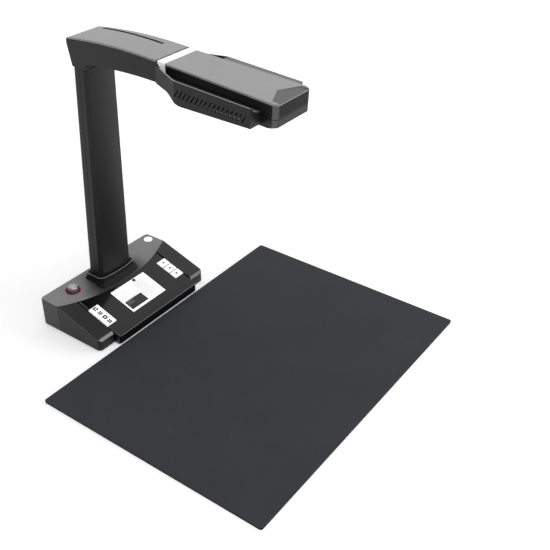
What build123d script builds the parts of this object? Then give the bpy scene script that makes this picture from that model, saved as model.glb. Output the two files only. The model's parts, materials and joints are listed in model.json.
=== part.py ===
from build123d import *
from math import atan2, cos, degrees, radians, sin
import os

# Overhead book scanner with its work mat.  Millimetres, +Z up.
# +X is the operator's right, -Y is towards the operator and the mat.
# The origin is the centre of the base's non-slip pad, on the table.

# ---------------------------------------------------------------- general fits
seam = 0.5              # visible line between two housing pieces
fit_gap = 0.15          # assembly clearance between pieces that do not move
slide_gap = 0.25        # clearance round a key or a button

# ---------------------------------------------------------------- base housing
base_width = 208.0
base_depth = 108.0
base_height = 41.0
front_height = 17.4     # height of the sloping top where it meets the front
slope_start = 19.5      # how far behind the middle the slope begins
wall = 2.2
pad_thickness = 2.0
pad_sunk = 1.0          # depth of the pad's seat in the tray
pad_length = 160.0
pad_depth = 88.0
tray_thickness = 3.0
skirt_lift = 0.6        # housing walls end this far above the tray's underside
corner_radius = 6.0
edge_radius = 1.4
front_bevel = 3.0       # flat along the end shells' front top edge
slope_blend_radius = 16.0
seam_sag = 22.0         # the rear cover's front seam bows forward by this much
seam_front = -1.5       # where that seam crosses the middle
panel_half_width = 78.0
panel_nose = 10.0       # the centre panel stands this far ahead of the end shells
nose_drop = 4.0
nose_radius = 3.0
nose_corner = 4.0
tray_rim = 3.0          # locating rim inside the housing walls

# ---------------------------------------------------------------- base contents
ballast_length = 150.0
ballast_depth = 66.0
ballast_thickness = 7.0
ballast_y = 13.0
screw_radius = 1.5
screw_head_radius = 2.8
screw_head_height = 1.8
post_radius = 3.6
board_thickness = 1.6
main_board_right = 88.0
main_board_left = -12.0
main_board_front = -10.0
main_board_rear = 46.0
main_board_notch_x = 22.0
main_board_notch_y = 4.0
board_lift = 5.0        # main board above the ballast plate
chip_side = 18.0
chip_height = 1.4
standoff_radius = 2.5
side_post_x = 90.0      # screw posts: end shells, rear cover, centre panel
side_post_y = -38.0
rear_post_x = 95.0
rear_post_y = 28.0
nose_post_x = 50.0
nose_post_y = -49.5

# ---------------------------------------------------------------- panel items
display_width = 66.0
display_height = 45.5
display_rise = 6.8      # display's lower edge, measured up the slope
display_glass_thickness = 1.4
display_module_thickness = 4.0
display_lip = 1.5
key_depth = 16.0
key_centre = 68.5       # key columns, left and right of the middle
left_key_pitch = 9.0
left_key_count = 4
left_key_rise = 11.9
left_key_space = 0.35
right_key_pitch = 12.8
right_key_count = 3
right_key_rise = 14.2
right_key_space = 1.5
key_proud = 0.9
key_travel = 0.8
key_flange = 1.0
key_flange_thickness = 1.0
key_stem = 1.4
switch_height = 1.5
key_board_margin = 2.0

power_x = -64.5
power_y = 31.9
power_cap_radius = 6.8
power_cap_proud = 7.0
power_ring_width = 3.35
power_ring_dish = 2.6
power_ring_proud = 0.8
power_travel = 1.5
lamp_x = 92.0
lamp_y = 39.5
lamp_cap_radius = 6.2
lamp_cap_proud = 1.4
lamp_travel = 0.8
cap_dome = 3.0
cap_flange = 1.4
cap_flange_thickness = 1.2
cap_stem_radius = 2.0
cap_stem = 2.6
button_board_margin = 3.0
button_switch_side = 6.0
button_board_top = 29.4
button_board_half = 7.5
led_x = 64.0
led_pitch = 7.6
led_count = 3
led_radius = 1.5
led_proud = 0.3

port_panel_width = 46.0
port_panel_height = 15.0
port_panel_lip = 1.5
port_x = 56.0           # middle of the port panel
jack_shift = -12.0
jack_width = 9.0
jack_height = 11.0
jack_length = 14.0
jack_bore_radius = 3.2
jack_bore_depth = 10.0
jack_pin_radius = 1.0
socket_shift = 10.0
socket_width = 9.4
socket_height = 3.6
socket_length = 9.0
socket_wall = 0.45
socket_tongue = 0.7

# ---------------------------------------------------------------- column
column_foot_half = 29.2
column_top_half = 25.3
column_foot_front = 12.8
column_foot_rear = 36.4
column_top_front = 0.9
column_top_rear = 22.4
column_bow = 2.2
column_chamfer = 4.5
column_wall = 2.4
column_rear_radius = 4.0
column_top_drop = 37.0  # drops are measured down from the arm's top at the joint
collar_height = 9.0     # rim above the rear cover's flat top
collar_rim = 3.4        # rim stands outside the column by this much
collar_draft = 0.8
collar_flare = 3.5
collar_waist = 6.0      # below the rim, where the flare begins
collar_sink = 18.0      # the flare runs down this far below the rim
spine_width = 30.0
spine_thickness = 4.0
spine_foot = 36.0
spine_top_drop = 16.0
spine_flange_reach = 20.0
spine_slot_half = 17.0
spine_slot_front = 16.0
spine_slot_rear = 31.0
ribbon_width = 16.0
ribbon_thickness = 0.8
ribbon_bend = 6.0
ribbon_start_y = -6.0
ribbon_end_y = -238.0
ribbon_clear = 3.4      # in front of the spine

# ---------------------------------------------------------------- arm
arm_top_z = 382.0       # top of the arm where it meets the head
arm_crown = 2.9         # the arched top rises this far above that
arm_crown_y = -62.0
arm_rear_drop = 2.7     # and falls this far below it at the rear
arm_rear_half = 25.5
arm_joint_half = 27.3
arm_rear_y = 28.0
joint_y = -126.0
arm_wall = 2.4
arm_cover_thickness = 2.2
arm_corner_radius = 4.0
arm_edge_bevel = 0.5
arm_throat_depth = 30.0 # underside just ahead of the column
arm_throat = 0.03       # share of the arm's reach where its underside begins
arm_throat_drop = 4.0   # short slope between the column and the underside
arm_mid_drop = 24.5
arm_end_drop = 25.0
slot_x = 17.6            # at the slot's middle
slot_slant = 3.4
slot_width = 3.8
slot_rear_y = 14.0
slot_front_y = -88.0
slot_depth = 1.2
slot_strip = 0.8        # thickness of the dark strip in the slot
band_length = 10.3
band_gap = 1.8          # dark gap between the band and the top cover
band_ledge = 3.0        # the gap's floor reaches this far under both
band_thickness = 1.6
band_drop = 11.0
band_point = 4.0        # the band's lower corner lies this far behind its front edge
arm_bar_width = 26.0
arm_bar_thickness = 4.0
arm_bar_front_y = -152.0

# ---------------------------------------------------------------- head
head_pitch = 3.1
head_length = 150.0
head_front_half = 30.6
plate_thickness = 2.2
plate_edge_radius = 0.7
head_corner = 5.0
head_corner_in = 3.2
facet_length = 21.5
facet_side = 9.5
facet_half = 25.5
facet_drop = 1.1
shell_wall = 2.0
shell_seam_drop = 17.0
shell_depth = 26.0
neck_half = 26.8
recess_start = 120.0
recess_half = 26.2
window_half = 25.0
window_top = 3.0
window_bottom = 15.8
window_thickness = 1.5
bulge_rear = 101.0
bulge_front = 141.0
bulge_half = 22.0
bulge_depth = 33.0
bulge_corner = 9.0
lens_station = 121.0
lens_radius = 9.0
lens_bore = 6.6
lens_glass_thickness = 2.0
lens_glass_inset = 2.5
camera_board_side = 34.0
camera_board_drop = 16.0
camera_post_radius = 2.0
head_post_x = 21.0
head_post_rear = 12.0
head_post_front = 92.0
wing_half = 46.3
wing_start = 28.0       # full width begins this far ahead of the joint
wing_end = 129.0
wing_tail = -13.0       # the tapered tail reaches back past the joint
wing_inner = 27.6
wing_rim = 1.1          # thin rim left round the groove beside the plate
wing_rim_drop = 5.1
wing_groove_drop = 13.0
wing_groove_low_x = 38.0
wing_groove_low_drop = 11.2
wing_bottom_drop = 33.7
wing_sweep_rear = 15.0  # the lower edge sweeps down from here to the full depth
wing_sweep_front = 5.0
wing_sweep_radius = 22.0
wing_shoulder_radius = 8.0
wing_tail_edge = 0.8
wing_wall = 1.8
vent_count = 17
vent_pitch = 5.6
vent_width = 1.5
vent_length = 10.5
vent_slant = 32.0
vent_first = 32.0
vent_drop = 18.4
lamp_length = 80.0
lamp_start = 34.0
lamp_width = 7.6
lamp_room = 10.0
lamp_window_margin = 3.0
diffuser_thickness = 1.6
lamp_board_lift = 6.0
lamp_board_thickness = 1.2
led_chip = 3.0
led_chip_height = 1.0
led_chip_count = 12

# ---------------------------------------------------------------- work mat
mat_width = 440.0
mat_depth = 325.0
mat_thickness = 3.0
mat_gap = 3.0
mat_offset = 9.0
mat_corner = 3.0

# ---------------------------------------------------------------- worked-out values
half_width = base_width / 2
half_depth = base_depth / 2
tray_bottom = pad_thickness - pad_sunk
panel_edge = panel_half_width - seam / 2
shell_edge = panel_half_width + seam / 2
tray_top = tray_bottom + tray_thickness
skirt_bottom = tray_bottom + skirt_lift
slope_angle = degrees(atan2(base_height - front_height, slope_start + half_depth))
nose_y = -half_depth - panel_nose
nose_z = front_height - nose_drop
ballast_top = tray_top + ballast_thickness
main_board_bottom = ballast_top + board_lift
collar_rim_z = base_height + collar_height
power_ring_radius = power_cap_radius + slide_gap + power_ring_width
column_foot_z = base_height + fit_gap
column_mid_foot = (column_foot_front + column_foot_rear) / 2
column_mid_top = (column_top_front + column_top_rear) / 2
main_board_top = main_board_bottom + board_thickness
button_board_bottom = button_board_top - board_thickness
column_top_z = arm_top_z - column_top_drop
spine_top_z = arm_top_z - spine_top_drop
arm_foot_z = column_top_z + fit_gap
arm_throat_z = arm_top_z - arm_throat_depth
arm_mid_z = arm_top_z - arm_mid_drop
arm_end_z = arm_top_z - arm_end_drop
arm_rear_top_z = arm_top_z - arm_rear_drop
arm_crown_z = arm_top_z + arm_crown
above_arm_z = arm_crown_z + 1
wing_bottom_z = arm_top_z - wing_bottom_drop
spine_foot_top = ballast_top + spine_thickness
key_flange_bottom = -wall - fit_gap - key_flange_thickness
key_stem_bottom = key_flange_bottom - key_stem
key_board_top = key_stem_bottom - key_travel - fit_gap - switch_height
head_origin = Location((0, joint_y - seam, arm_top_z), (head_pitch, 0, 0))


# ---------------------------------------------------------------- helpers
def block(x_low, x_high, y_low, y_high, z_low, z_high):
    """Box between two corners."""
    centre = ((x_low + x_high) / 2, (y_low + y_high) / 2, (z_low + z_high) / 2)
    return Pos(*centre) * Box(x_high - x_low, y_high - y_low, z_high - z_low)


def rod(x, y, z_low, z_high, radius):
    """Upright cylinder."""
    return Pos(x, y, (z_low + z_high) / 2) * Cylinder(radius, z_high - z_low)


def outline(points, radii=None):
    """Closed face through points, each corner rounded by its own radius."""
    if radii is None:
        return make_face(Polyline(*points, close=True))
    return make_face(FilletPolyline(*points, radius=radii, close=True))


def along_x(face, x_low, x_high):
    """Carry a face drawn in (y, z) from x_low to x_high."""
    return extrude(Plane.YZ.offset(x_low) * face, amount=x_high - x_low, dir=(1, 0, 0))


def along_y(face, y_low, y_high):
    """Carry a face drawn in (x, z) from y_low to y_high."""
    section = Plane((0, y_low, 0), x_dir=(1, 0, 0), z_dir=(0, -1, 0)) * face
    return extrude(section, amount=y_high - y_low, dir=(0, 1, 0))


def along_z(face, z_low, z_high):
    """Carry a face drawn in (x, y) from z_low to z_high."""
    return extrude(Pos(0, 0, z_low) * face, amount=z_high - z_low, dir=(0, 0, 1))


def inset(face, distance):
    """The same outline, moved inwards."""
    return offset(face, amount=-distance, kind=Kind.INTERSECTION)


def slope_plane(x, rise):
    """Plane on the sloping top, rise millimetres up from its front edge."""
    y = -half_depth + rise * cos(radians(slope_angle))
    z = front_height + rise * sin(radians(slope_angle))
    tilt = radians(slope_angle)
    return Plane((x, y, z), x_dir=(1, 0, 0), z_dir=(0, -sin(tilt), cos(tilt)))


def on_slope(x_low, x_high, rise_low, rise_high, depth_low, depth_high):
    """Box laid on the sloping top; depths are negative below its surface."""
    return slope_plane(0, 0) * block(x_low, x_high, rise_low, rise_high, depth_low, depth_high)


def in_head(x_low, x_high, ahead_low, ahead_high, drop_low, drop_high):
    """Box in the head's own frame: ahead of the joint and below the plate's top."""
    return head_origin * block(x_low, x_high, -ahead_high, -ahead_low, -drop_high, -drop_low)


def head_prism(points, radii, drop_low, drop_high):
    """Plan outline of (x, ahead) points, carried down through the head."""
    plan = outline([(x, -ahead) for x, ahead in points], radii)
    return head_origin * along_z(plan, -drop_high, -drop_low)


def save(solid, name):
    """Write one sub-part."""
    export_step(solid, f"parts/{name}.step")


# ---------------------------------------------------------------- base housing
def base_profile(bottom):
    """Side view of the base without the centre panel's nose."""
    tilt = radians(slope_angle)
    bevel_top = (-half_depth + front_bevel * cos(tilt), front_height + front_bevel * sin(tilt))
    points = [(half_depth, bottom), (half_depth, base_height), (slope_start, base_height), bevel_top,
              (-half_depth, front_height - front_bevel), (-half_depth, bottom)]
    return outline(points, [0, 0, slope_blend_radius, 0, 0, 0])


def base_plan(margin):
    """Plan outline of the base with rounded corners."""
    return RectangleRounded(base_width - 2 * margin, base_depth - 2 * margin,
                            corner_radius - margin / 2)


def base_form():
    """Full outer form of the base, edges rounded."""
    form = along_x(base_profile(skirt_bottom), -half_width, half_width)
    form = fillet(form.edges().filter_by(Axis.Z), corner_radius)
    top = [edge for edge in form.edges()
           if edge.bounding_box().min.Z > skirt_bottom + corner_radius
           and not is_upright(edge) and not crosses_top(edge)]
    return fillet(top, edge_radius)


def is_upright(edge):
    """True for a straight vertical edge."""
    return edge.geom_type == GeomType.LINE and abs(edge.tangent_at(0.5).Z) > 0.99


def crosses_top(edge):
    """True for an edge that runs across the whole top, inside the rim."""
    middle = edge.center()
    return abs(middle.X) < 1 and -half_depth + front_bevel / 2 < middle.Y < half_depth - 1


def base_hollow():
    """Space inside the housing walls, open underneath."""
    profile = inset(base_profile(skirt_bottom - 3 * wall), wall)
    hollow = along_x(profile, -half_width + wall, half_width - wall)
    return hollow & along_z(base_plan(wall), -wall, base_height)


def behind_seam(shift):
    """Everything behind the rear cover's curved front seam, moved back by shift."""
    reach = half_width + 1
    side_y = seam_front + seam_sag + shift
    middle_y = seam_front + shift
    curve = ThreePointArc((-reach, side_y), (0, middle_y), (reach, side_y))
    back = Polyline((reach, side_y), (reach, half_depth + 2), (-reach, half_depth + 2), (-reach, side_y))
    return along_z(make_face(Wire([curve, *back.edges()])), -wall, base_height + 5)


def post(x, y, form):
    """Screw post from the tray up to the housing's underside."""
    return rod(x, y, tray_top + fit_gap, base_height + 5, post_radius) & form


def post_bore(x, y):
    """Pilot hole for the post's screw."""
    return rod(x, y, tray_top, tray_top + 8, screw_radius)


def rear_cover(form, hollow):
    """Grey rear top cover with its button, light, port and column openings."""
    cover = (form - hollow) & behind_seam(seam / 2)
    for side in (-1, 1):
        cover += post(side * rear_post_x, rear_post_y, form) & behind_seam(seam / 2)
        cover -= post_bore(side * rear_post_x, rear_post_y)
    for x, y in power_board_posts() + lamp_board_posts():
        cover += rod(x, y, button_board_top, base_height - wall / 2, post_radius / 2)
    cover -= rod(power_x, power_y, 0, base_height + 1, power_ring_radius + fit_gap)
    cover -= rod(lamp_x, lamp_y, 0, base_height + 1, lamp_cap_radius + slide_gap)
    for x in led_places():
        cover -= rod(x, lamp_y, 0, base_height + 1, led_radius + fit_gap)
    cover -= block(-spine_slot_half, spine_slot_half, spine_slot_front, spine_slot_rear, 0, base_height + 1)
    low, high = port_heights()
    cover -= block(port_x - port_panel_width / 2 - fit_gap, port_x + port_panel_width / 2 + fit_gap,
                   half_depth - 2 * wall, half_depth + 1, low - fit_gap, high + fit_gap)
    return cover


def end_shell(side, form, hollow):
    """Left (-1) or right (+1) end shell, ahead of the curved seam."""
    low, high = sorted((side * shell_edge, side * (half_width + 1)))
    shell = (form - hollow) - behind_seam(-seam / 2)
    shell &= block(low, high, -half_depth - 1, half_depth, 0, base_height + 1)
    shell += post(side * side_post_x, side_post_y, form)
    return shell - post_bore(side * side_post_x, side_post_y)


def panel_profile(bottom):
    """Side view of the centre panel, nose included."""
    tilt = radians(slope_angle)
    points = [(half_depth, bottom), (half_depth, base_height), (slope_start, base_height),
              (-half_depth - cos(tilt), front_height - sin(tilt)), (nose_y, nose_z), (nose_y, bottom)]
    return outline(points, [0, 0, slope_blend_radius, nose_radius, nose_radius, 0])


def panel_form():
    """Outer form of the centre panel."""
    form = along_x(panel_profile(skirt_bottom), -panel_edge, panel_edge)
    front = form.edges().filter_by(Axis.Z).filter_by_position(Axis.Y, nose_y - 1, nose_y + 1)
    return fillet(front, nose_corner)


def centre_panel():
    """Sloping glossy panel with the display and key openings."""
    form = panel_form()
    inner = inset(panel_profile(skirt_bottom - 3 * wall), wall)
    hollow = along_x(inner, -panel_edge + wall, panel_edge - wall)
    hollow += along_x(inner, -half_width, half_width) & block(
        -half_width, half_width, -half_depth + wall, half_depth, -3 * wall, base_height)
    panel = (form - hollow) - behind_seam(-seam / 2)
    for side in (-1, 1):
        panel += post(side * nose_post_x, nose_post_y, form)
        for rise in key_board_posts(side):
            reach = slope_plane(side * key_centre, rise) * Pos(0, 0, (key_board_top - wall / 2) / 2)
            panel += reach * Cylinder(post_radius / 2, -key_board_top - wall / 2)
    for side in (-1, 1):
        panel -= post_bore(side * nose_post_x, nose_post_y)
    half = display_width / 2
    top = display_rise + display_height
    panel -= on_slope(-half - fit_gap, half + fit_gap, display_rise - fit_gap, top + fit_gap,
                      -display_glass_thickness, wall)
    panel -= on_slope(-half + display_lip, half - display_lip, display_rise + display_lip, top - display_lip,
                      -2 * wall, wall)
    for side, low, high in key_openings():
        centre = side * key_centre
        reach = key_depth / 2 + slide_gap
        panel -= on_slope(centre - reach, centre + reach, low - slide_gap, high + slide_gap, -wall - 1, wall)
    return panel


def key_ranges(side):
    """Lower and upper edge of each key's cap, up the slope."""
    if side < 0:
        count, pitch, start, space = left_key_count, left_key_pitch, left_key_rise, left_key_space
    else:
        count, pitch, start, space = right_key_count, right_key_pitch, right_key_rise, right_key_space
    return [(start + i * pitch, start + (i + 1) * pitch - space) for i in range(count)]


def key_openings():
    """One slot for the left keys, a hole for each right key."""
    left = key_ranges(-1)
    return [(-1, left[0][0], left[-1][1])] + [(1, low, high) for low, high in key_ranges(1)]


def key_board_posts(side):
    """Where the posts of a key board stand, up the slope."""
    keys = key_ranges(side)
    reach = post_radius / 2 + key_board_margin / 2
    return keys[0][0] - reach, keys[-1][1] + reach


def power_board_posts():
    """Posts of the power button's board, either side of the ring."""
    reach = power_ring_radius + cap_flange + post_radius
    return [(power_x - reach, power_y), (power_x + reach, power_y)]


def lamp_board_posts():
    """Posts of the lamp button's board: beyond the lights and before the button."""
    lights = led_places()
    return [(lights[0] - led_radius - button_board_margin, lamp_y),
            (lights[-1] + button_board_margin, lamp_y - 2 * button_board_margin)]


def led_places():
    """Where the status lights stand along X."""
    return [led_x + i * led_pitch for i in range(led_count)]


def port_heights():
    """Lower and upper edge of the port panel."""
    low = main_board_top - 1.5
    return low, low + port_panel_height


# ---------------------------------------------------------------- base contents
def tray_plan(margin):
    """Plan of the tray: the housing's inside and the nose's inside."""
    nose_half = panel_edge - margin
    nose_face = Pos(0, (nose_y + margin) / 2) * Rectangle(2 * nose_half, -nose_y - margin)
    return base_plan(margin) + nose_face


def post_places():
    """Every screw post under the housing."""
    places = [(side_post_x, side_post_y), (rear_post_x, rear_post_y), (nose_post_x, nose_post_y)]
    return [(side * x, y) for x, y in places for side in (-1, 1)]


def base_tray():
    """Bottom tray with a locating rim, the pad's seat and the screw holes."""
    margin = wall + fit_gap
    tray = along_z(tray_plan(margin), tray_bottom, tray_top)
    rim = along_z(tray_plan(margin), tray_top, tray_top + tray_rim)
    rim -= along_z(tray_plan(margin + wall), tray_top, tray_top + tray_rim)
    tray += rim
    for x, y in post_places():
        tray -= rod(x, y, tray_top, tray_top + tray_rim, post_radius + fit_gap)
        tray -= rod(x, y, tray_bottom, tray_top, screw_radius + fit_gap)
        tray -= rod(x, y, tray_bottom, tray_bottom + screw_head_height + fit_gap, screw_head_radius + fit_gap)
    seat = RectangleRounded(pad_length + 2 * fit_gap, pad_depth + 2 * fit_gap, corner_radius)
    return tray - along_z(seat, tray_bottom, pad_thickness)


def base_screws():
    """Six screws that hold the housing to the tray."""
    head_low = tray_bottom + fit_gap
    head_top = head_low + screw_head_height
    screws = []
    for x, y in post_places():
        head = rod(x, y, head_low, head_top, screw_head_radius)
        head -= Pos(x, y, head_low) * Box(screw_radius * 2, 0.8, 1.6)
        screws.append(head + rod(x, y, head_top, tray_top + 6, screw_radius - fit_gap / 3))
    return Compound(screws)


def non_slip_pad():
    """Rubber pad that the scanner stands on."""
    return along_z(RectangleRounded(pad_length, pad_depth, corner_radius), 0, pad_thickness)


def ballast_plate():
    """Steel plate that keeps the overhanging head from tipping the stand."""
    plan = Pos(0, ballast_y) * RectangleRounded(ballast_length, ballast_depth, mat_corner)
    return along_z(plan, tray_top, ballast_top)


def standoff_places():
    """Corners of the main board's wider half, where its spacers stand."""
    inset_by = 2 * standoff_radius
    right = ballast_length / 2 - inset_by
    left = main_board_notch_x + inset_by
    front = main_board_front + inset_by
    rear = main_board_rear - 3 * inset_by
    return [(left, front), (right, front), (left, rear), (right, rear)]


def board_standoffs():
    """Spacers between the ballast plate and the main board."""
    return Compound([rod(x, y, ballast_top, main_board_bottom, standoff_radius)
                     for x, y in standoff_places()])


def board_screws():
    """Screws that hold the main board down."""
    screws = []
    for x, y in standoff_places():
        shank = rod(x, y, main_board_bottom, main_board_top, screw_radius - fit_gap)
        head = rod(x, y, main_board_top, main_board_top + screw_head_height, screw_head_radius)
        screws.append(shank + head)
    return Compound(screws)


def main_board():
    """Main circuit board, notched round the column's steel spine."""
    board = block(main_board_left, main_board_right, main_board_front, main_board_notch_y,
                  main_board_bottom, main_board_top)
    board += block(main_board_notch_x, main_board_right, main_board_front, main_board_rear,
                   main_board_bottom, main_board_top)
    chip_x = (main_board_notch_x + main_board_right) / 2
    chip_y = (main_board_front + main_board_rear) / 2
    half = chip_side / 2
    board += block(chip_x - half, chip_x + half, chip_y - half, chip_y + half,
                   main_board_top, main_board_top + chip_height)
    for x, y in standoff_places():
        board -= rod(x, y, 0, main_board_top, screw_radius)
    return board


def port_panel():
    """Rear plate round the power jack and the data socket, with an inner lip."""
    low, high = port_heights()
    left, right = port_x - port_panel_width / 2, port_x + port_panel_width / 2
    inside = half_depth - wall - fit_gap
    panel = block(left, right, inside, half_depth - fit_gap, low, high)
    panel += block(left - port_panel_lip, right + port_panel_lip, inside - 1.2, inside,
                   low - port_panel_lip, high + port_panel_lip)
    for form in (jack_block(fit_gap), socket_block(fit_gap)):
        panel -= form
    return panel


def jack_block(margin):
    """Outer form of the power jack."""
    x = port_x + jack_shift
    half = jack_width / 2 + margin
    return block(x - half, x + half, half_depth - jack_length, half_depth - fit_gap + margin,
                 main_board_top + fit_gap - margin, main_board_top + fit_gap + jack_height + margin)


def power_jack():
    """Round power jack with its centre pin."""
    x = port_x + jack_shift
    z = main_board_top + fit_gap + jack_height / 2
    mouth = half_depth - fit_gap
    turned = Location((x, mouth - jack_bore_depth / 2, z), (90, 0, 0))
    jack = jack_block(0) - turned * Cylinder(jack_bore_radius, jack_bore_depth)
    return jack + turned * Pos(0, 0, 1) * Cylinder(jack_pin_radius, jack_bore_depth)


def socket_block(margin):
    """Outer form of the data socket."""
    x = port_x + socket_shift
    z = main_board_top + fit_gap + socket_height / 2
    section = RectangleRounded(socket_width + 2 * margin, socket_height + 2 * margin, socket_height / 2 - 0.1)
    mouth = half_depth - fit_gap
    return along_y(Pos(x, z) * section, mouth - socket_length, mouth + margin)


def data_socket():
    """Flat data socket with its tongue."""
    x = port_x + socket_shift
    z = main_board_top + fit_gap + socket_height / 2
    mouth = half_depth - fit_gap
    depth = socket_length - 1
    inner_height = socket_height - 2 * socket_wall
    mouth_face = RectangleRounded(socket_width - 2 * socket_wall, inner_height, inner_height / 2 - 0.1)
    socket = socket_block(0) - along_y(Pos(x, z) * mouth_face, mouth - depth, mouth)
    tongue_half = socket_width / 3
    return socket + block(x - tongue_half, x + tongue_half, mouth - depth - 0.5, mouth - 1.5,
                          z - socket_tongue / 2, z + socket_tongue / 2)


# ---------------------------------------------------------------- panel items
def display_glass():
    """Cover glass, flush with the panel."""
    half = display_width / 2
    glass = on_slope(-half, half, display_rise, display_rise + display_height,
                     -display_glass_thickness + 0.02, 0.1)
    return glass


def display_module():
    """Display behind the panel's ledge."""
    half = display_width / 2 + 1
    return on_slope(-half, half, display_rise - 1, display_rise + display_height + 1,
                    -wall - fit_gap - display_module_thickness, -wall - fit_gap)


def key_cap(side, low, high):
    """One square key: cap, retaining flange on two sides and stem."""
    centre = side * key_centre
    half = key_depth / 2
    cap = on_slope(centre - half, centre + half, low, high, key_flange_bottom, key_proud)
    surface = slope_plane(0, 0)
    top = cap.faces().sort_by(lambda face: surface.to_local_coords(face.center()).Z)[-1]
    cap = fillet(top.edges(), 0.5)
    cap += on_slope(centre - half - key_flange, centre + half + key_flange, low, high,
                    key_flange_bottom, key_flange_bottom + key_flange_thickness)
    stem = slope_plane(centre, (low + high) / 2) * Pos(0, 0, (key_flange_bottom + key_stem_bottom) / 2)
    return cap + stem * Cylinder(1.5, key_stem)


def key_board(side):
    """Board with one switch below each key."""
    keys = key_ranges(side)
    centre = side * key_centre
    half = key_depth / 2 + key_board_margin
    margin = post_radius + key_board_margin
    board = on_slope(centre - half, centre + half, keys[0][0] - margin, keys[-1][1] + margin,
                     key_board_top - board_thickness, key_board_top)
    for low, high in keys:
        middle = (low + high) / 2
        board += on_slope(centre - 2.5, centre + 2.5, middle - 2.5, middle + 2.5,
                          key_board_top, key_board_top + switch_height)
    return board


def power_ring():
    """Red ring round the power button, dished towards the button."""
    top = base_height + power_ring_proud
    under = base_height - wall - fit_gap
    inner = power_cap_radius + slide_gap
    ring = rod(power_x, power_y, under, top, power_ring_radius)
    ring += rod(power_x, power_y, under - cap_flange_thickness, under, power_ring_radius + cap_flange)
    ring -= rod(power_x, power_y, 0, top, inner)
    edge = ring.edges().filter_by(GeomType.CIRCLE).filter_by_position(Axis.Z, top - 0.01, top + 0.01)
    return chamfer(edge.sort_by(SortBy.RADIUS)[0], power_ring_dish)


def round_cap(x, y, radius, top, seat, dome, stem_bottom):
    """Round button: cap, flange below its seat and stem."""
    flange_top = seat - fit_gap
    cap = rod(x, y, flange_top - cap_flange_thickness, top, radius)
    crown = cap.edges().filter_by(GeomType.CIRCLE).sort_by(Axis.Z)[-1]
    cap = fillet(crown, dome)
    cap += rod(x, y, flange_top - cap_flange_thickness, flange_top, radius + cap_flange)
    return cap + rod(x, y, stem_bottom, flange_top, cap_stem_radius)


def power_seat():
    """Height of the face that stops the power button."""
    return base_height - wall - fit_gap - cap_flange_thickness


def lamp_seat():
    """Height of the face that stops the lamp button."""
    return base_height - wall


def stem_bottom(seat):
    """Lower end of a round button's stem."""
    return seat - fit_gap - cap_flange_thickness - cap_stem


def button_board(left, right, x, y, seat, travel):
    """Board from left to right with the switch of the round button at x, y."""
    board = block(left, right, y - button_board_half, y + button_board_half,
                  button_board_bottom, button_board_top)
    switch_top = stem_bottom(seat) - travel - fit_gap
    side = button_switch_side / 2
    return board + block(x - side, x + side, y - side, y + side, button_board_top, switch_top)


def status_lights():
    """Light pipes from the board up through the cover."""
    return Compound([rod(x, lamp_y, button_board_top + fit_gap, base_height + led_proud, led_radius)
                     for x in led_places()])


# ---------------------------------------------------------------- column
def column_section(z, margin):
    """Plan section of the column at height z, grown by margin."""
    share = (z - column_foot_z) / (column_top_z - column_foot_z)
    half = column_foot_half + share * (column_top_half - column_foot_half) + margin
    front = column_foot_front + share * (column_top_front - column_foot_front) - margin
    rear = column_foot_rear + share * (column_top_rear - column_foot_rear) + margin
    cut = column_chamfer
    round_by = column_rear_radius * 0.3
    points = [(half - cut, front), (half, front + cut), (half, rear - column_rear_radius),
              (half - round_by, rear - round_by), (half - column_rear_radius, rear)]
    mirrored = [(-x, y) for x, y in reversed(points)]
    sides = Polyline(*points, *mirrored)
    bow = ThreePointArc(mirrored[-1], (0, front - column_bow), points[0])
    return Pos(0, 0, z) * make_face(Wire([*sides.edges(), bow]))


def column_form(margin, z_low, z_high):
    """Tapered, leaning column form between two heights."""
    return loft([column_section(z_low, margin), column_section(z_high, margin)], ruled=True)


def column_half(front):
    """Front or rear shell of the column, parted along its lean."""
    tube = column_form(0, column_foot_z, column_top_z)
    tube -= column_form(-column_wall, column_foot_z - 1, column_top_z + 1)
    reach = 60 if front else -60
    shift = seam / 2 if front else -seam / 2
    points = [(column_mid_foot - shift, column_foot_z - 1), (column_mid_top - shift, column_top_z + 1),
              (column_mid_top - reach, column_top_z + 1), (column_mid_foot - reach, column_foot_z - 1)]
    return tube & along_x(outline(points), -column_foot_half - 5, column_foot_half + 5)


def column_collar(form, panel):
    """Flared foot round the column with a raised rim."""
    waist = collar_rim_z - collar_waist
    low = collar_rim_z - collar_sink
    waist_section = column_section(waist, collar_rim + collar_draft)
    flare = loft([column_section(low, collar_rim + 2 * collar_flare), waist_section], ruled=True)
    rim = loft([waist_section, column_section(collar_rim_z, collar_rim)], ruled=True)
    collar = flare + rim
    collar -= column_form(fit_gap, low - 1, collar_rim_z + 1)
    for surface in (form, panel):
        collar -= Pos(0, 0, fit_gap) * surface
    return collar


def column_spine():
    """Steel spine: foot on the ballast plate, leaning upright, flange under the arm bar."""
    half = spine_thickness / 2
    foot_y, top_y = column_mid_foot, column_mid_top - 1
    points = [(foot_y - spine_foot / 2, ballast_top), (foot_y + spine_foot / 2, ballast_top),
              (foot_y + spine_foot / 2, spine_foot_top), (foot_y + half, spine_foot_top),
              (top_y + half, spine_top_z), (top_y - spine_flange_reach, spine_top_z),
              (top_y - spine_flange_reach, spine_top_z - spine_thickness),
              (top_y - half, spine_top_z - spine_thickness), (foot_y - half, spine_foot_top),
              (foot_y - spine_foot / 2, spine_foot_top)]
    return along_x(outline(points), -spine_width / 2, spine_width / 2)


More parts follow.
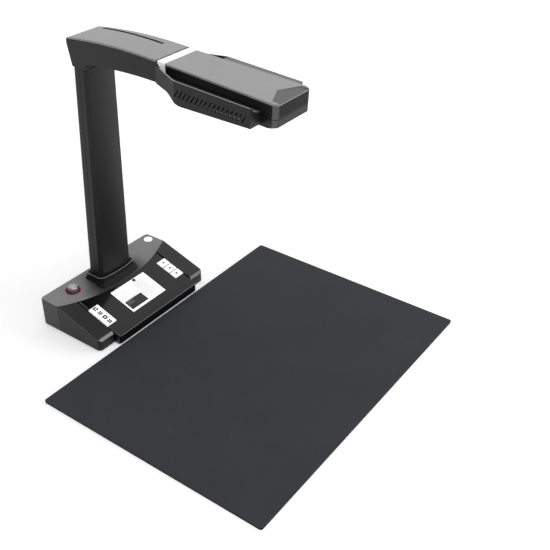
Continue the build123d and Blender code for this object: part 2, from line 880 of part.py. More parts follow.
def spine_screws():
    """Screws through the spine's foot and its upper flange."""
    screws = []
    for side in (-1, 1):
        for end in (-1, 1):
            x, y = side * spine_width / 3, column_mid_foot + end * spine_foot / 3
            screws.append(rod(x, y, spine_foot_top, spine_foot_top + screw_head_height, screw_head_radius))
        y = column_mid_top - spine_flange_reach / 2 - 3
        bar_top = spine_top_z + arm_bar_thickness
        head_top = bar_top + screw_head_height
        screws.append(rod(side * arm_bar_width / 4, y, bar_top, head_top, screw_head_radius))
    return Compound(screws)


def ribbon_cable():
    """Flat cable from the main board up the column to the camera board."""
    low = main_board_top + 1.0
    high = spine_top_z - spine_thickness - ribbon_thickness
    front = spine_thickness / 2 + ribbon_clear
    points = [(0, ribbon_start_y, low), (0, column_mid_foot - front, low),
              (0, column_mid_top - front, high), (0, ribbon_end_y, high)]
    path = FilletPolyline(*points, radius=ribbon_bend)
    start = Plane(points[0], x_dir=(1, 0, 0), z_dir=(0, 1, 0))
    return sweep(start * Rectangle(ribbon_width, ribbon_thickness), path=path)


# ---------------------------------------------------------------- arm
def arm_profile(margin, low=arm_foot_z, front=joint_y):
    """Side view of the arm and its elbow, shrunk by margin."""
    rear, top = arm_rear_y - margin, arm_rear_top_z - margin
    corner = max(arm_corner_radius - margin, edge_radius)
    turned = corner * (1 - cos(radians(45)))
    back = Polyline((column_top_rear - margin, low), (rear, arm_rear_top_z - 2 * arm_corner_radius),
                    (rear, top - corner))
    turn = ThreePointArc((rear, top - corner), (rear - turned, top - turned), (rear - corner, top))
    end_top = arm_top_z - margin
    deck = ThreePointArc((rear - corner, top), (arm_crown_y, arm_crown_z - margin), (front, end_top))
    end = Line((front, end_top), (front, arm_end_z + margin))
    reach = joint_y - column_top_front
    throat = (column_top_front + arm_throat * reach, arm_throat_z + margin)
    under = Spline((front, arm_end_z + margin), (column_top_front + reach / 2, arm_mid_z + margin), throat)
    inner = column_top_front + margin
    elbow = Polyline(throat, (inner, arm_throat_z - arm_throat_drop + margin), (inner, low),
                     (column_top_rear - margin, low))
    return make_face(Wire([*back.edges(), turn, deck, end, under, *elbow.edges()]))


def arm_plan(margin):
    """Plan view of the arm, widening towards the joint."""
    rear, end = arm_rear_half - margin, arm_joint_half - margin
    return outline([(rear, arm_rear_y + 1), (end, joint_y - 1), (-end, joint_y - 1), (-rear, arm_rear_y + 1)])


def arm_form(margin, low=arm_foot_z, front=joint_y):
    """Solid arm form, shrunk by margin."""
    half = arm_joint_half + 1
    plan = along_z(arm_plan(margin), column_top_z - 5, above_arm_z)
    return along_x(arm_profile(margin, low, front), -half, half) & plan


def above_deck(drop, rear, front):
    """Everything above the arm's arched top lowered by drop, from rear to front."""
    arch = ThreePointArc((arm_rear_y, arm_rear_top_z - drop), (arm_crown_y, arm_crown_z - drop),
                         (joint_y - 1, arm_top_z - drop))
    lid = Polyline((joint_y - 1, arm_top_z - drop), (joint_y - 1, above_arm_z), (arm_rear_y, above_arm_z),
                   (arm_rear_y, arm_rear_top_z - drop))
    half = arm_joint_half + 1
    region = along_x(make_face(Wire([arch, *lid.edges()])), -half, half)
    return region & block(-half, half, front, rear, column_top_z, above_arm_z)


def band_zone(margin):
    """Side view of the bright band, grown by margin, as a block across the arm."""
    rear = joint_y + band_length + margin
    points = [(joint_y - 1, above_arm_z), (rear, above_arm_z), (rear, arm_top_z - band_thickness),
              (joint_y + band_point + margin, arm_top_z - band_drop - margin),
              (joint_y - 1, arm_top_z - band_drop - margin)]
    return along_x(outline(points), -arm_joint_half - 1, arm_joint_half + 1)


def arm_shell(form):
    """Arm's side walls, underside and elbow, with a ledge under the band's gap."""
    hollow = arm_form(arm_wall, arm_foot_z - 3, joint_y - 0.5)
    under_cover = arm_cover_thickness + fit_gap
    ledge_rear = joint_y + band_length + band_gap + band_ledge
    ledge_front = joint_y + band_length - band_ledge
    ledge = form & above_deck(under_cover + band_thickness, ledge_rear, ledge_front)
    shell = form - hollow + ledge
    shell -= above_deck(under_cover, arm_rear_y, joint_y - 1)
    return shell - (band_zone(seam) - arm_form(band_thickness + fit_gap))


def arm_cover(form):
    """Arched grey top of the arm with its slot."""
    cover = form & above_deck(arm_cover_thickness, arm_rear_y, joint_y + band_length + band_gap)
    cover = chamfer(cover_rims(cover), arm_edge_bevel)
    return cover - (slot_form(0) & above_deck(slot_depth, arm_rear_y, joint_y))


def cover_rims(cover):
    """Long upper side edges of the arm's cover."""
    long_edges = [edge for edge in cover.edges() if edge.length > abs(arm_crown_y)]
    return sorted(long_edges, key=lambda edge: edge.center().Z)[-2:]


def slot_form(margin):
    """Long upright slot with rounded ends."""
    length = slot_rear_y - slot_front_y - 2 * margin
    width = slot_width - 2 * margin
    middle = Pos(slot_x, (slot_rear_y + slot_front_y) / 2)
    face = middle * Rot(0, 0, 90 - slot_slant) * SlotOverall(length, width)
    return along_z(face, column_top_z, above_arm_z)


def arm_slot_window():
    """Dark strip in the arm's slot."""
    strip = slot_form(fit_gap / 3) & above_deck(slot_depth, arm_rear_y, joint_y)
    return strip - above_deck(slot_depth - slot_strip, arm_rear_y, joint_y)


def joint_band(form):
    """Bright band over the joint of arm and head."""
    return (form - arm_form(band_thickness, front=joint_y - 1)) & band_zone(0)


def arm_bar():
    """Steel bar from the spine's flange into the head."""
    rear = column_mid_top - 1 + spine_thickness / 2
    half = arm_bar_width / 2
    return block(-half, half, arm_bar_front_y, rear, spine_top_z, spine_top_z + arm_bar_thickness)


# ---------------------------------------------------------------- head
def head_plan(margin):
    """Half outline of the head's plan as (x, ahead) points, rear to front."""
    front = head_length - margin
    return [(neck_half - margin, 0), (neck_half - margin, recess_start - 3),
            (recess_half - margin, recess_start + 3),
            (head_front_half - margin, head_length - head_corner),
            (head_front_half - head_corner_in - margin, front)]


def head_body(margin, drop_low, drop_high, rear=0.0):
    """Head form between two drops, shrunk in plan by margin."""
    half = head_plan(margin)
    half[0] = (half[0][0], rear)
    return head_prism(half + [(-x, ahead) for x, ahead in reversed(half)], None, drop_low, drop_high)


def ahead_of_joint(solid):
    """Trim what would reach back into the arm."""
    return solid - block(-wing_half, wing_half, joint_y - seam, joint_y + base_depth,
                         wing_bottom_z, above_arm_z)


def head_plate():
    """Grey top plate with its sunken facet."""
    points = [(neck_half, 0), (head_front_half, head_length - head_corner),
              (head_front_half - head_corner_in, head_length)]
    plate = head_prism(points + [(-x, ahead) for x, ahead in reversed(points)], None, 0, plate_thickness)
    local = head_origin.inverse() * plate
    rims = [edge for edge in local.edges()
            if edge.bounding_box().min.Z > -0.01 and edge.center().Y < -1]
    plate = head_origin * chamfer(rims, plate_edge_radius)
    apex = head_length - facet_length
    shoulder = head_length - facet_side
    points = [(0, apex), (facet_half, shoulder), (facet_half + 1, head_length + 1),
              (-facet_half - 1, head_length + 1), (-facet_half, shoulder)]
    pocket = head_prism(points, None, -1, plate_thickness)
    slope = facet_drop / facet_length
    side_view = outline([(-apex, 0), (-apex, 2), (-head_length - 2, 2),
                         (-head_length - 2, -slope * (facet_length + 2))])
    wedge = head_origin * along_x(side_view, -facet_half - 2, facet_half + 2)
    return ahead_of_joint(plate - (pocket & wedge))


def head_upper_shell():
    """Upper half of the head's housing with its screw posts and window seat."""
    top = plate_thickness + fit_gap
    shell = head_body(0, top, shell_seam_drop)
    shell -= head_body(shell_wall, top + shell_wall, shell_seam_drop + 1, -1)
    for x, ahead in head_posts():
        shell += head_post(x, ahead, top + shell_wall, shell_depth - shell_wall - fit_gap,
                           camera_post_radius + 1)
        shell -= head_post(x, ahead, shell_depth - 10, shell_depth, screw_radius)
    half = window_half + fit_gap
    return ahead_of_joint(shell) - in_head(-half, half, head_length - window_thickness, head_length + 1,
                           window_top - fit_gap, window_bottom + fit_gap)


def head_posts():
    """Screw posts of the head."""
    return [(side * head_post_x, ahead) for side in (-1, 1) for ahead in (head_post_rear, head_post_front)]


def head_post(x, ahead, drop_low, drop_high, radius):
    """Upright cylinder in the head's own frame."""
    return head_origin * rod(x, -ahead, -drop_high, -drop_low, radius)


def head_lower_shell():
    """Lower half of the head's housing with the camera bulge."""
    shell = head_body(0, shell_seam_drop + seam, shell_depth)
    shell += bulge(0, shell_depth - 1, bulge_depth)
    shell -= head_body(shell_wall, shell_seam_drop, shell_depth - shell_wall, -1)
    shell -= bulge(shell_wall, shell_depth - shell_wall - 1, bulge_depth - shell_wall)
    shell -= head_post(0, lens_station, shell_depth, bulge_depth + 1, lens_radius + fit_gap)
    for x, ahead in camera_posts():
        shell += head_post(x, ahead, camera_board_drop + board_thickness, bulge_depth - shell_wall / 2,
                           camera_post_radius)
    for x, ahead in head_posts():
        shell -= head_post(x, ahead, shell_depth - 10, shell_depth + 1, screw_radius + fit_gap)
        shell -= head_post(x, ahead, shell_depth - screw_head_height / 2, shell_depth + 1,
                           screw_head_radius + fit_gap)
    return ahead_of_joint(shell)


def bulge(margin, drop_low, drop_high):
    """Rounded housing below the head that holds the camera."""
    middle = -(bulge_rear + bulge_front) / 2
    length = bulge_front - bulge_rear - 2 * margin
    plan = Pos(0, middle) * RectangleRounded(2 * (bulge_half - margin), length, bulge_corner - margin)
    return head_origin * along_z(plan, -drop_high, -drop_low)


def camera_posts():
    """Posts below the camera board's corners."""
    reach = camera_board_side / 2 - 1.2 * camera_post_radius
    return [(side * reach, lens_station + end * reach) for side in (-1, 1) for end in (-1, 1)]


def head_screws():
    """Screws up through the lower shell."""
    screws = []
    low = shell_depth - screw_head_height / 2 + fit_gap
    for x, ahead in head_posts():
        head = head_post(x, ahead, low, low + screw_head_height / 2 - fit_gap, screw_head_radius)
        screws.append(head + head_post(x, ahead, shell_depth - 8, low, screw_radius - fit_gap / 3))
    return Compound(screws)


def camera_board():
    """Camera board above the lens."""
    half = camera_board_side / 2
    return in_head(-half, half, lens_station - half, lens_station + half,
                   camera_board_drop, camera_board_drop + board_thickness)


def lens_barrel():
    """Lens barrel from the board down through the bulge."""
    top = camera_board_drop + board_thickness
    barrel = head_post(0, lens_station, top, bulge_depth - 0.6, lens_radius)
    return barrel - head_post(0, lens_station, top + 2, bulge_depth, lens_bore)


def lens_glass():
    """Front element, set back in the barrel."""
    low = bulge_depth - lens_glass_inset
    return head_post(0, lens_station, low - lens_glass_thickness, low, lens_bore - 0.05)


def front_window():
    """Glossy window in the head's front face."""
    return in_head(-window_half, window_half, head_length - window_thickness + 0.05, head_length - 0.05,
                   window_top, window_bottom)


def wing_groove():
    """Everything above the groove beside the plate, in (x, z) of the head's own frame."""
    cove = ThreePointArc((wing_inner - 1, -wing_groove_drop), (wing_groove_low_x, -wing_groove_low_drop),
                         (wing_half - wing_rim, -wing_rim_drop))
    lid = Polyline((wing_half - wing_rim, -wing_rim_drop), (wing_half - wing_rim, 1), (wing_inner - 1, 1),
                   (wing_inner - 1, -wing_groove_drop))
    return make_face(Wire([cove, *lid.edges()]))


def wing_side_view():
    """Side view of a wing in (y, z), tail to square front end."""
    front_y = joint_y - wing_end
    full_y = joint_y - wing_start
    tail_y = joint_y - wing_tail
    return outline([(tail_y, arm_end_z), (tail_y, above_arm_z), (front_y, above_arm_z),
                    (front_y, wing_bottom_z), (full_y - wing_sweep_front, wing_bottom_z),
                    (full_y + wing_sweep_rear, arm_end_z)],
                   [0, 0, 0, 0, wing_sweep_radius, wing_sweep_radius])


def wing_plan():
    """Plan of the right-hand wing."""
    tail_y = joint_y - wing_tail
    full_y = joint_y - wing_start
    front_y = joint_y - wing_end
    return outline([(wing_inner, tail_y), (wing_inner + wing_tail_edge, tail_y), (wing_half, full_y),
                    (wing_half, front_y), (wing_inner, front_y)], [0, 0, wing_shoulder_radius, 0, 0])


def lamp_space(margin, z_low, z_high, shorten=0.0):
    """Block inside the right-hand wing where its lamp sits."""
    rear = joint_y - lamp_start - margin - shorten
    front = joint_y - lamp_start - lamp_length + margin + shorten
    return block(wing_inner + wing_wall + margin, wing_half - wing_wall - margin, front, rear, z_low, z_high)


def lamp_wing(side):
    """Slatted wing on one side of the head."""
    reach = wing_end - wing_tail
    slab = in_head(wing_inner - 1, wing_half + 1, -reach, reach, wing_rim_drop, 2 * wing_bottom_drop)
    wing = slab & along_z(wing_plan(), wing_bottom_z - 1, above_arm_z)
    wing &= along_x(wing_side_view(), wing_inner - 1, wing_half + 1)
    groove = head_origin * along_y(wing_groove(), -reach, reach)
    wing -= groove & along_z(Pos(-wing_rim, -wing_rim) * wing_plan(), wing_bottom_z, above_arm_z)
    floor = wing_bottom_z + wing_wall
    wing -= lamp_space(0, floor, floor + lamp_room)
    window = lamp_space((wing_half - wing_inner - 2 * wing_wall - lamp_width) / 2,
                        wing_bottom_z - 1, floor + 1, lamp_window_margin)
    wing -= window
    slit = Rot(vent_slant, 0, 0) * Box(2 * wing_wall + 1, vent_width, vent_length)
    for i in range(vent_count):
        ahead = vent_first + i * vent_pitch
        wing -= head_origin * Pos(wing_half, -ahead, -vent_drop) * slit
    return wing if side > 0 else mirror(wing, about=Plane.YZ)


def diffuser(side):
    """Milky strip that closes a wing's lamp from below."""
    floor = wing_bottom_z + wing_wall
    strip = lamp_space(fit_gap, floor + fit_gap / 3, floor + fit_gap / 3 + diffuser_thickness)
    return strip if side > 0 else mirror(strip, about=Plane.YZ)


def lamp_board(side):
    """Board with a row of light chips above the diffuser."""
    low = wing_bottom_z + wing_wall + lamp_board_lift
    board = lamp_space(fit_gap, low, low + lamp_board_thickness)
    middle = (wing_half + wing_inner) / 2
    pitch = lamp_length / led_chip_count
    half = led_chip / 2
    for i in range(led_chip_count):
        y = joint_y - lamp_start - (i + 0.5) * pitch
        board += block(middle - half, middle + half, y - half, y + half, low - led_chip_height, low)
    return board if side > 0 else mirror(board, about=Plane.YZ)


# ---------------------------------------------------------------- work mat
def work_mat():
    """Dark mat that the pages are laid on."""
    near = nose_y - mat_gap
    face = Pos(mat_offset, near - mat_depth / 2) * RectangleRounded(mat_width, mat_depth, mat_corner)
    return along_z(face, 0, mat_thickness)


# ---------------------------------------------------------------- build
def build_base():
    """Write the base's sub-parts."""
    form = base_form()
    hollow = base_hollow()
    save(rear_cover(form, hollow), "rear_cover")
    save(end_shell(-1, form, hollow), "left_end_shell")
    save(end_shell(1, form, hollow), "right_end_shell")
    save(centre_panel(), "centre_panel")
    save(column_collar(form, panel_form() - behind_seam(-seam / 2)), "column_collar")
    save(base_tray(), "base_tray")
    save(base_screws(), "base_screws")
    save(non_slip_pad(), "non_slip_pad")
    save(ballast_plate(), "ballast_plate")
    save(main_board(), "main_board")
    save(board_standoffs(), "board_standoffs")
    save(board_screws(), "board_screws")
    save(port_panel(), "port_panel")
    save(power_jack(), "power_jack")
    save(data_socket(), "data_socket")


def build_controls():
    """Write the display, the keys, the buttons and the lights."""
    save(display_glass(), "display_glass")
    save(display_module(), "display_module")
    for side, name in ((-1, "left"), (1, "right")):
        save(key_board(side), f"{name}_key_board")
        for number, (low, high) in enumerate(key_ranges(side), 1):
            save(key_cap(side, low, high), f"{name}_key_{number}")
    power_bottom, lamp_bottom = stem_bottom(power_seat()), stem_bottom(lamp_seat())
    save(power_ring(), "power_ring")
    save(round_cap(power_x, power_y, power_cap_radius, base_height + power_cap_proud, power_seat(),
                   cap_dome, power_bottom), "power_button")
    save(round_cap(lamp_x, lamp_y, lamp_cap_radius, base_height + lamp_cap_proud, lamp_seat(),
                   lamp_cap_proud * 0.7, lamp_bottom), "lamp_button")
    (power_left, _), (power_right, _) = power_board_posts()
    save(button_board(power_left - post_radius, power_right + post_radius, power_x, power_y,
                      power_seat(), power_travel), "power_button_board")
    lamp_left = lamp_board_posts()[0][0]
    save(button_board(lamp_left - post_radius, lamp_x + lamp_cap_radius, lamp_x, lamp_y, lamp_seat(),
                      lamp_travel), "lamp_button_board")
    save(status_lights(), "status_lights")


def build_column_and_arm():
    """Write the column's and the arm's sub-parts."""
    save(column_half(True), "column_front_shell")
    save(column_half(False), "column_rear_shell")
    save(column_spine(), "column_spine")
    save(spine_screws(), "spine_screws")
    save(ribbon_cable(), "ribbon_cable")
    form = arm_form(0)
    save(arm_shell(form), "arm_shell")
    save(arm_cover(form), "arm_top_cover")
    save(arm_slot_window(), "arm_slot_window")
    save(joint_band(form), "joint_band")
    save(arm_bar(), "arm_bar")


def build_head():
    """Write the head's sub-parts."""
    save(head_plate(), "head_top_plate")
    save(head_upper_shell(), "head_upper_shell")
    save(head_lower_shell(), "head_lower_shell")
    save(head_screws(), "head_screws")
    save(camera_board(), "camera_board")
    save(lens_barrel(), "lens_barrel")
    save(lens_glass(), "lens_glass")
    save(front_window(), "front_window")
    for side, name in ((-1, "left"), (1, "right")):
        save(lamp_wing(side), f"{name}_wing")
        save(diffuser(side), f"{name}_diffuser")
        save(lamp_board(side), f"{name}_lamp_board")


if __name__ == "__main__":
    os.makedirs("parts", exist_ok=True)
    build_base()
    build_controls()
    build_column_and_arm()
    build_head()
    save(work_mat(), "work_mat")
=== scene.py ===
"""Looks of the overhead book scanner: finishes, small surface pieces and the studio round the CAD frame."""

import json
import logging
import math
from dataclasses import dataclass, field
from enum import Enum

import bmesh
import bpy
from mathutils import Matrix, Vector

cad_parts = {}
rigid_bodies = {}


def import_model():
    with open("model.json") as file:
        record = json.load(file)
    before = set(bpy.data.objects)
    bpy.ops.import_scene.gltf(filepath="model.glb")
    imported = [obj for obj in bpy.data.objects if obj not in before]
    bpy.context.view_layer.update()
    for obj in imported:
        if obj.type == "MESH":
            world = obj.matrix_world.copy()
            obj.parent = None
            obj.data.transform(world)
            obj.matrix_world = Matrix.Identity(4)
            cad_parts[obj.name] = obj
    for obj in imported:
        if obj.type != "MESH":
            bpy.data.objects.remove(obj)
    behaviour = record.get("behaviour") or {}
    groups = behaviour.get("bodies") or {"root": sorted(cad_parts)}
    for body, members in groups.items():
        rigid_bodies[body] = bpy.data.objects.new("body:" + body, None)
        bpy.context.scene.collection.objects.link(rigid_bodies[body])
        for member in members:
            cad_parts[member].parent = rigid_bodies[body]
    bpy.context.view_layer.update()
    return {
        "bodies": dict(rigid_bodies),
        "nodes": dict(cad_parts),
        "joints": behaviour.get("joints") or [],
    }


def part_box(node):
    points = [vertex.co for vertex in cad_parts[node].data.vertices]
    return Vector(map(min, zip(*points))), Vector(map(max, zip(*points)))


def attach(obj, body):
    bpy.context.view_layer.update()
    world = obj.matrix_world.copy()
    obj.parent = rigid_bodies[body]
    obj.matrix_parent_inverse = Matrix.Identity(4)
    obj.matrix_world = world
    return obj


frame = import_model()

log = logging.getLogger("book_scanner")

MM = 0.001

Colour = tuple[float, float, float]
Point = tuple[float, float, float]
Edges = tuple[float, float, float, float]  # left, right, low and high
Tree = bpy.types.NodeTree
Socket = bpy.types.NodeSocket
Mesh = bpy.types.Mesh

# sockets that Blender knows by number, because several have one name
MIX_SHARE, MIX_FIRST, MIX_SECOND, MIX_RESULT = 0, 6, 7, 2
RANDOM_LEAST, RANDOM_MOST = 0, 1

DRIFT_GRAINS = 45  # grains across one patch of drifting colour
DRIFT_DETAIL = 3.0
GRAIN_DETAIL = 2.0
SMOOTHEST = 0.02  # least roughness that a finish drifts to
BRUSH_STRETCH = (0.05, 1.0, 1.0)
POLISHED_RELIEF = 0.25  # share of the relief that polishing leaves
FACES_UP = 0.15  # Z of a normal above which a groove's face looks up
SIDE_NORMAL, TOP_NORMAL = 0.5, 0.9  # Z of a normal at which a face is a side, and a top
FACE_REACH = 0.1 * MM  # corners this close to the outermost one lie on its face
SAME_PLACE_DIGITS = 6  # corners of an outline less than a micrometre apart are one


# ---------------------------------------------------------------- shader nodes
def add_math(tree: Tree, operation: str, first: Socket, second: Socket | float | None = None) -> Socket:
    """Add a sum on one or two values.

    Args:
        tree: The node tree that it joins.
        operation: Blender's name of the sum.
        first: The first value.
        second: The second value, where the sum takes two.

    Returns:
        The result.
    """
    node = tree.nodes.new("ShaderNodeMath")
    node.operation = operation
    tree.links.new(first, node.inputs[0])
    if isinstance(second, float):
        node.inputs[1].default_value = second
    elif second is not None:
        tree.links.new(second, node.inputs[1])
    return node.outputs[0]


def add_range(tree: Tree, value: Socket, start: float, stop: float, low: float = 0.0, high: float = 1.0,
              smooth: bool = False) -> Socket:
    """Carry a value from one span to another.

    Args:
        tree: The node tree that the step joins.
        value: The value.
        start: Where the value's span begins.
        stop: Where it ends.
        low: Result at the beginning of the span and before it.
        high: Result at its end and beyond.
        smooth: Whether the result eases in and out; otherwise it rises evenly.

    Returns:
        The result.
    """
    node = tree.nodes.new("ShaderNodeMapRange")
    node.interpolation_type = "SMOOTHSTEP" if smooth else "LINEAR"
    node.inputs["From Min"].default_value = start
    node.inputs["From Max"].default_value = stop
    node.inputs["To Min"].default_value = low
    node.inputs["To Max"].default_value = high
    tree.links.new(value, node.inputs["Value"])
    return node.outputs["Result"]


def add_split(tree: Tree, vector: Socket) -> bpy.types.Node:
    """Split a vector into its parts.

    Args:
        tree: The node tree that the split joins.
        vector: The vector.

    Returns:
        The node, for its outputs X, Y and Z.
    """
    node = tree.nodes.new("ShaderNodeSeparateXYZ")
    tree.links.new(vector, node.inputs[0])
    return node


def add_colour_mix(tree: Tree, share: Socket, first: Socket | Colour, second: Socket | Colour) -> Socket:
    """Mix two colours.

    Args:
        tree: The node tree that the mix joins.
        share: Share of the second colour.
        first: The first colour, fixed or varying.
        second: The second colour, fixed or varying.

    Returns:
        The mixed colour.
    """
    mix = tree.nodes.new("ShaderNodeMix")
    mix.data_type = "RGBA"
    tree.links.new(share, mix.inputs[MIX_SHARE])
    for place, colour in ((MIX_FIRST, first), (MIX_SECOND, second)):
        if isinstance(colour, tuple):
            mix.inputs[place].default_value = (*colour, 1.0)
        else:
            tree.links.new(colour, mix.inputs[place])
    return mix.outputs[MIX_RESULT]


def add_shader_mix(tree: Tree, share: Socket, first: Socket, second: Socket) -> Socket:
    """Mix two shaders.

    Args:
        tree: The node tree that the mix joins.
        share: Share of the second shader.
        first: The first shader.
        second: The second shader.

    Returns:
        The mixed shader.
    """
    mix = tree.nodes.new("ShaderNodeMixShader")
    for place, socket in enumerate((share, first, second)):
        tree.links.new(socket, mix.inputs[place])
    return mix.outputs[0]


# ---------------------------------------------------------------- finishes
class Grain(Enum):
    """Small-scale texture of a finish."""

    SPARK = "fine moulded texture"
    POLISHED = "smooth, with faint handling marks"
    BRUSHED = "fine parallel lines"
    PEBBLE = "embossed leather-like grain"


class Tone(Enum):
    """Where a finish with painted light or shade shows its second colour."""

    SIDES = "faces that don't look up"
    LEANING = "faces with one lean, such as a bevel or a facet"
    GROOVE = "faces that look up, growing with their distance from the middle"
    FOOT = "faces that don't look up, and all faces round one place"


@dataclass(frozen=True)
class Finish:
    """One surface finish and the node material that shows it.

    Lengths are in metres. grain_size is the width of one grain, depth how far it stands proud, mottle the
    share by which the colour drifts, and marks the amount by which the roughness drifts.
    """

    name: str
    colour: Colour
    roughness: float
    grain: Grain = Grain.SPARK
    grain_size: float = 0.7 * MM
    depth: float = 0.03 * MM
    mottle: float = 0.10
    marks: float = 0.05
    metallic: float = 0.0
    specular: float = 0.5
    coat: float = 0.0
    coat_roughness: float = 0.08
    glow: float = 0.0

    def material(self) -> bpy.types.Material:
        """Return the material, made on first use.

        Returns:
            The node material of this finish.
        """
        found = bpy.data.materials.get(self.name)
        if found is not None:
            return found
        made = bpy.data.materials.new(self.name)
        made.use_nodes = True
        tree = made.node_tree
        shader = tree.nodes["Principled BSDF"]
        shader.inputs["Metallic"].default_value = self.metallic
        shader.inputs["Specular IOR Level"].default_value = self.specular
        shader.inputs["Coat Weight"].default_value = self.coat
        shader.inputs["Coat Roughness"].default_value = self.coat_roughness
        place = tree.nodes.new("ShaderNodeTexCoord").outputs["Object"]
        drift = self._noise(tree, place, 1 / (DRIFT_GRAINS * self.grain_size), DRIFT_DETAIL)
        colour = self._mottled(tree, place, drift)
        tree.links.new(colour, shader.inputs["Base Color"])
        if self.glow > 0:
            shader.inputs["Emission Strength"].default_value = self.glow
            tree.links.new(colour, shader.inputs["Emission Color"])
        dull, rough = max(SMOOTHEST, self.roughness - self.marks), min(1.0, self.roughness + self.marks)
        tree.links.new(add_range(tree, drift, 0.0, 1.0, dull, rough), shader.inputs["Roughness"])
        tree.links.new(self._relief(tree, place), shader.inputs["Normal"])
        made.diffuse_color = (*self.colour, 1.0)
        return made

    def _noise(self, tree: Tree, place: Socket, scale: float, detail: float) -> Socket:
        """Add a noise texture.

        Args:
            tree: The material's node tree.
            place: Coordinates that it reads.
            scale: Grains per metre.
            detail: Octaves of finer noise.

        Returns:
            The noise value, from 0 to 1.
        """
        noise = tree.nodes.new("ShaderNodeTexNoise")
        noise.inputs["Scale"].default_value = scale
        noise.inputs["Detail"].default_value = detail
        tree.links.new(place, noise.inputs["Vector"])
        return noise.outputs["Fac"]

    def _shades(self, colour: Colour) -> tuple[Colour, Colour]:
        """Work out how far the mottling takes a colour.

        Args:
            colour: The colour in the middle.

        Returns:
            The darkest and the palest colour.
        """
        dark = tuple(c * (1 - self.mottle) for c in colour)
        pale = tuple(min(1.0, c * (1 + self.mottle)) for c in colour)
        return dark, pale

    def _mottled(self, tree: Tree, place: Socket, drift: Socket) -> Socket:
        """Return the drifting colour, which doesn't depend on the place in a one-tone finish."""
        return add_colour_mix(tree, drift, *self._shades(self.colour))

    def _relief(self, tree: Tree, place: Socket) -> Socket:
        """Raise the finish's grain as a bump.

        Args:
            tree: The material's node tree.
            place: Coordinates that the grain reads.

        Returns:
            The bumped normal.
        """
        if self.grain is Grain.BRUSHED:
            stretch = tree.nodes.new("ShaderNodeMapping")
            stretch.inputs["Scale"].default_value = BRUSH_STRETCH
            tree.links.new(place, stretch.inputs["Vector"])
            place = stretch.outputs["Vector"]
        if self.grain is Grain.PEBBLE:
            cells = tree.nodes.new("ShaderNodeTexVoronoi")
            cells.feature = "SMOOTH_F1"
            cells.inputs["Scale"].default_value = 1 / self.grain_size
            tree.links.new(place, cells.inputs["Vector"])
            height = cells.outputs["Distance"]
        else:
            height = self._noise(tree, place, 1 / self.grain_size, GRAIN_DETAIL)
        bump = tree.nodes.new("ShaderNodeBump")
        bump.inputs["Distance"].default_value = self.depth
        bump.inputs["Strength"].default_value = POLISHED_RELIEF if self.grain is Grain.POLISHED else 1.0
        tree.links.new(height, bump.inputs["Height"])
        return bump.outputs["Normal"]


@dataclass(frozen=True)
class PaintedLightAndShadeFinish(Finish):
    """A finish with painted light or shade: a second colour on some of its faces, by their lean or place.

    The second colour fades between start and stop, which are measured by the tone:

    - SIDES: the Z of the face's normal.
    - LEANING: how far the size of the normal's part along axis is from centre.
    - GROOVE: distance in metres from the object's middle plane. place is the unit vector that heights are
      measured along, and centre the height in metres below which the second colour isn't shown.
    - FOOT: distance in metres from place.
    """

    second: Colour = (0.1, 0.1, 0.1)
    tone: Tone = Tone.SIDES
    start: float = 0.0
    stop: float = 1.0
    place: Point = (0.0, 0.0, 0.0)
    axis: str = "Z"
    centre: float = 0.0

    def _mottled(self, tree: Tree, place: Socket, drift: Socket) -> Socket:
        """Mix the drifting colour with the drifting painted light or shade by the direction or the place of
        the face.

        Args:
            tree: The material's node tree.
            place: The shaded point.
            drift: Noise that both colours drift with.

        Returns:
            The mixed colour.
        """
        main = add_colour_mix(tree, drift, *self._shades(self.colour))
        other = add_colour_mix(tree, drift, *self._shades(self.second))
        return add_colour_mix(tree, self._share(tree, place), main, other)

    def _share(self, tree: Tree, place: Socket) -> Socket:
        """Work out how much of the painted light or shade, the second colour, a face shows.

        Args:
            tree: The material's node tree.
            place: The shaded point.

        Returns:
            The share, from 0 to 1.
        """
        facing = add_split(tree, tree.nodes.new("ShaderNodeNewGeometry").outputs["True Normal"])
        if self.tone is Tone.SIDES:
            return self._fading(tree, facing.outputs["Z"])
        if self.tone is Tone.LEANING:
            lean = add_math(tree, "ABSOLUTE", facing.outputs[self.axis])
            off = add_math(tree, "SUBTRACT", lean, self.centre)
            return self._fading(tree, add_math(tree, "ABSOLUTE", off))
        if self.tone is Tone.GROOVE:
            outwards = add_math(tree, "ABSOLUTE", add_split(tree, place).outputs["X"])
            growing = add_range(tree, outwards, self.start, self.stop, smooth=True)
            upward = add_math(tree, "GREATER_THAN", facing.outputs["Z"], FACES_UP)
            above = add_math(tree, "GREATER_THAN", self._measure(tree, "DOT_PRODUCT", place), self.centre)
            return add_math(tree, "MULTIPLY", growing, add_math(tree, "MULTIPLY", upward, above))
        near = self._fading(tree, self._measure(tree, "DISTANCE", place))
        side = add_range(tree, facing.outputs["Z"], SIDE_NORMAL, TOP_NORMAL, 1.0, 0.0, smooth=True)
        return add_math(tree, "MAXIMUM", near, side)

    def _fading(self, tree: Tree, value: Socket) -> Socket:
        """Return 1 where the value is below start, 0 above stop and a smooth step between."""
        return add_range(tree, value, self.start, self.stop, 1.0, 0.0, smooth=True)

    def _measure(self, tree: Tree, operation: str, place: Socket) -> Socket:
        """Compare the shaded point with the finish's place.

        Args:
            tree: The material's node tree.
            operation: DISTANCE for how far it is, DOT_PRODUCT for its height along it.
            place: The shaded point.

        Returns:
            The length in metres.
        """
        node = tree.nodes.new("ShaderNodeVectorMath")
        node.operation = operation
        node.inputs[1].default_value = self.place
        tree.links.new(place, node.inputs[0])
        return node.outputs["Value"]


HEAD_UP = (0.0, -0.05408, 0.99854)  # unit vector out of the head's top, which slopes down to the front

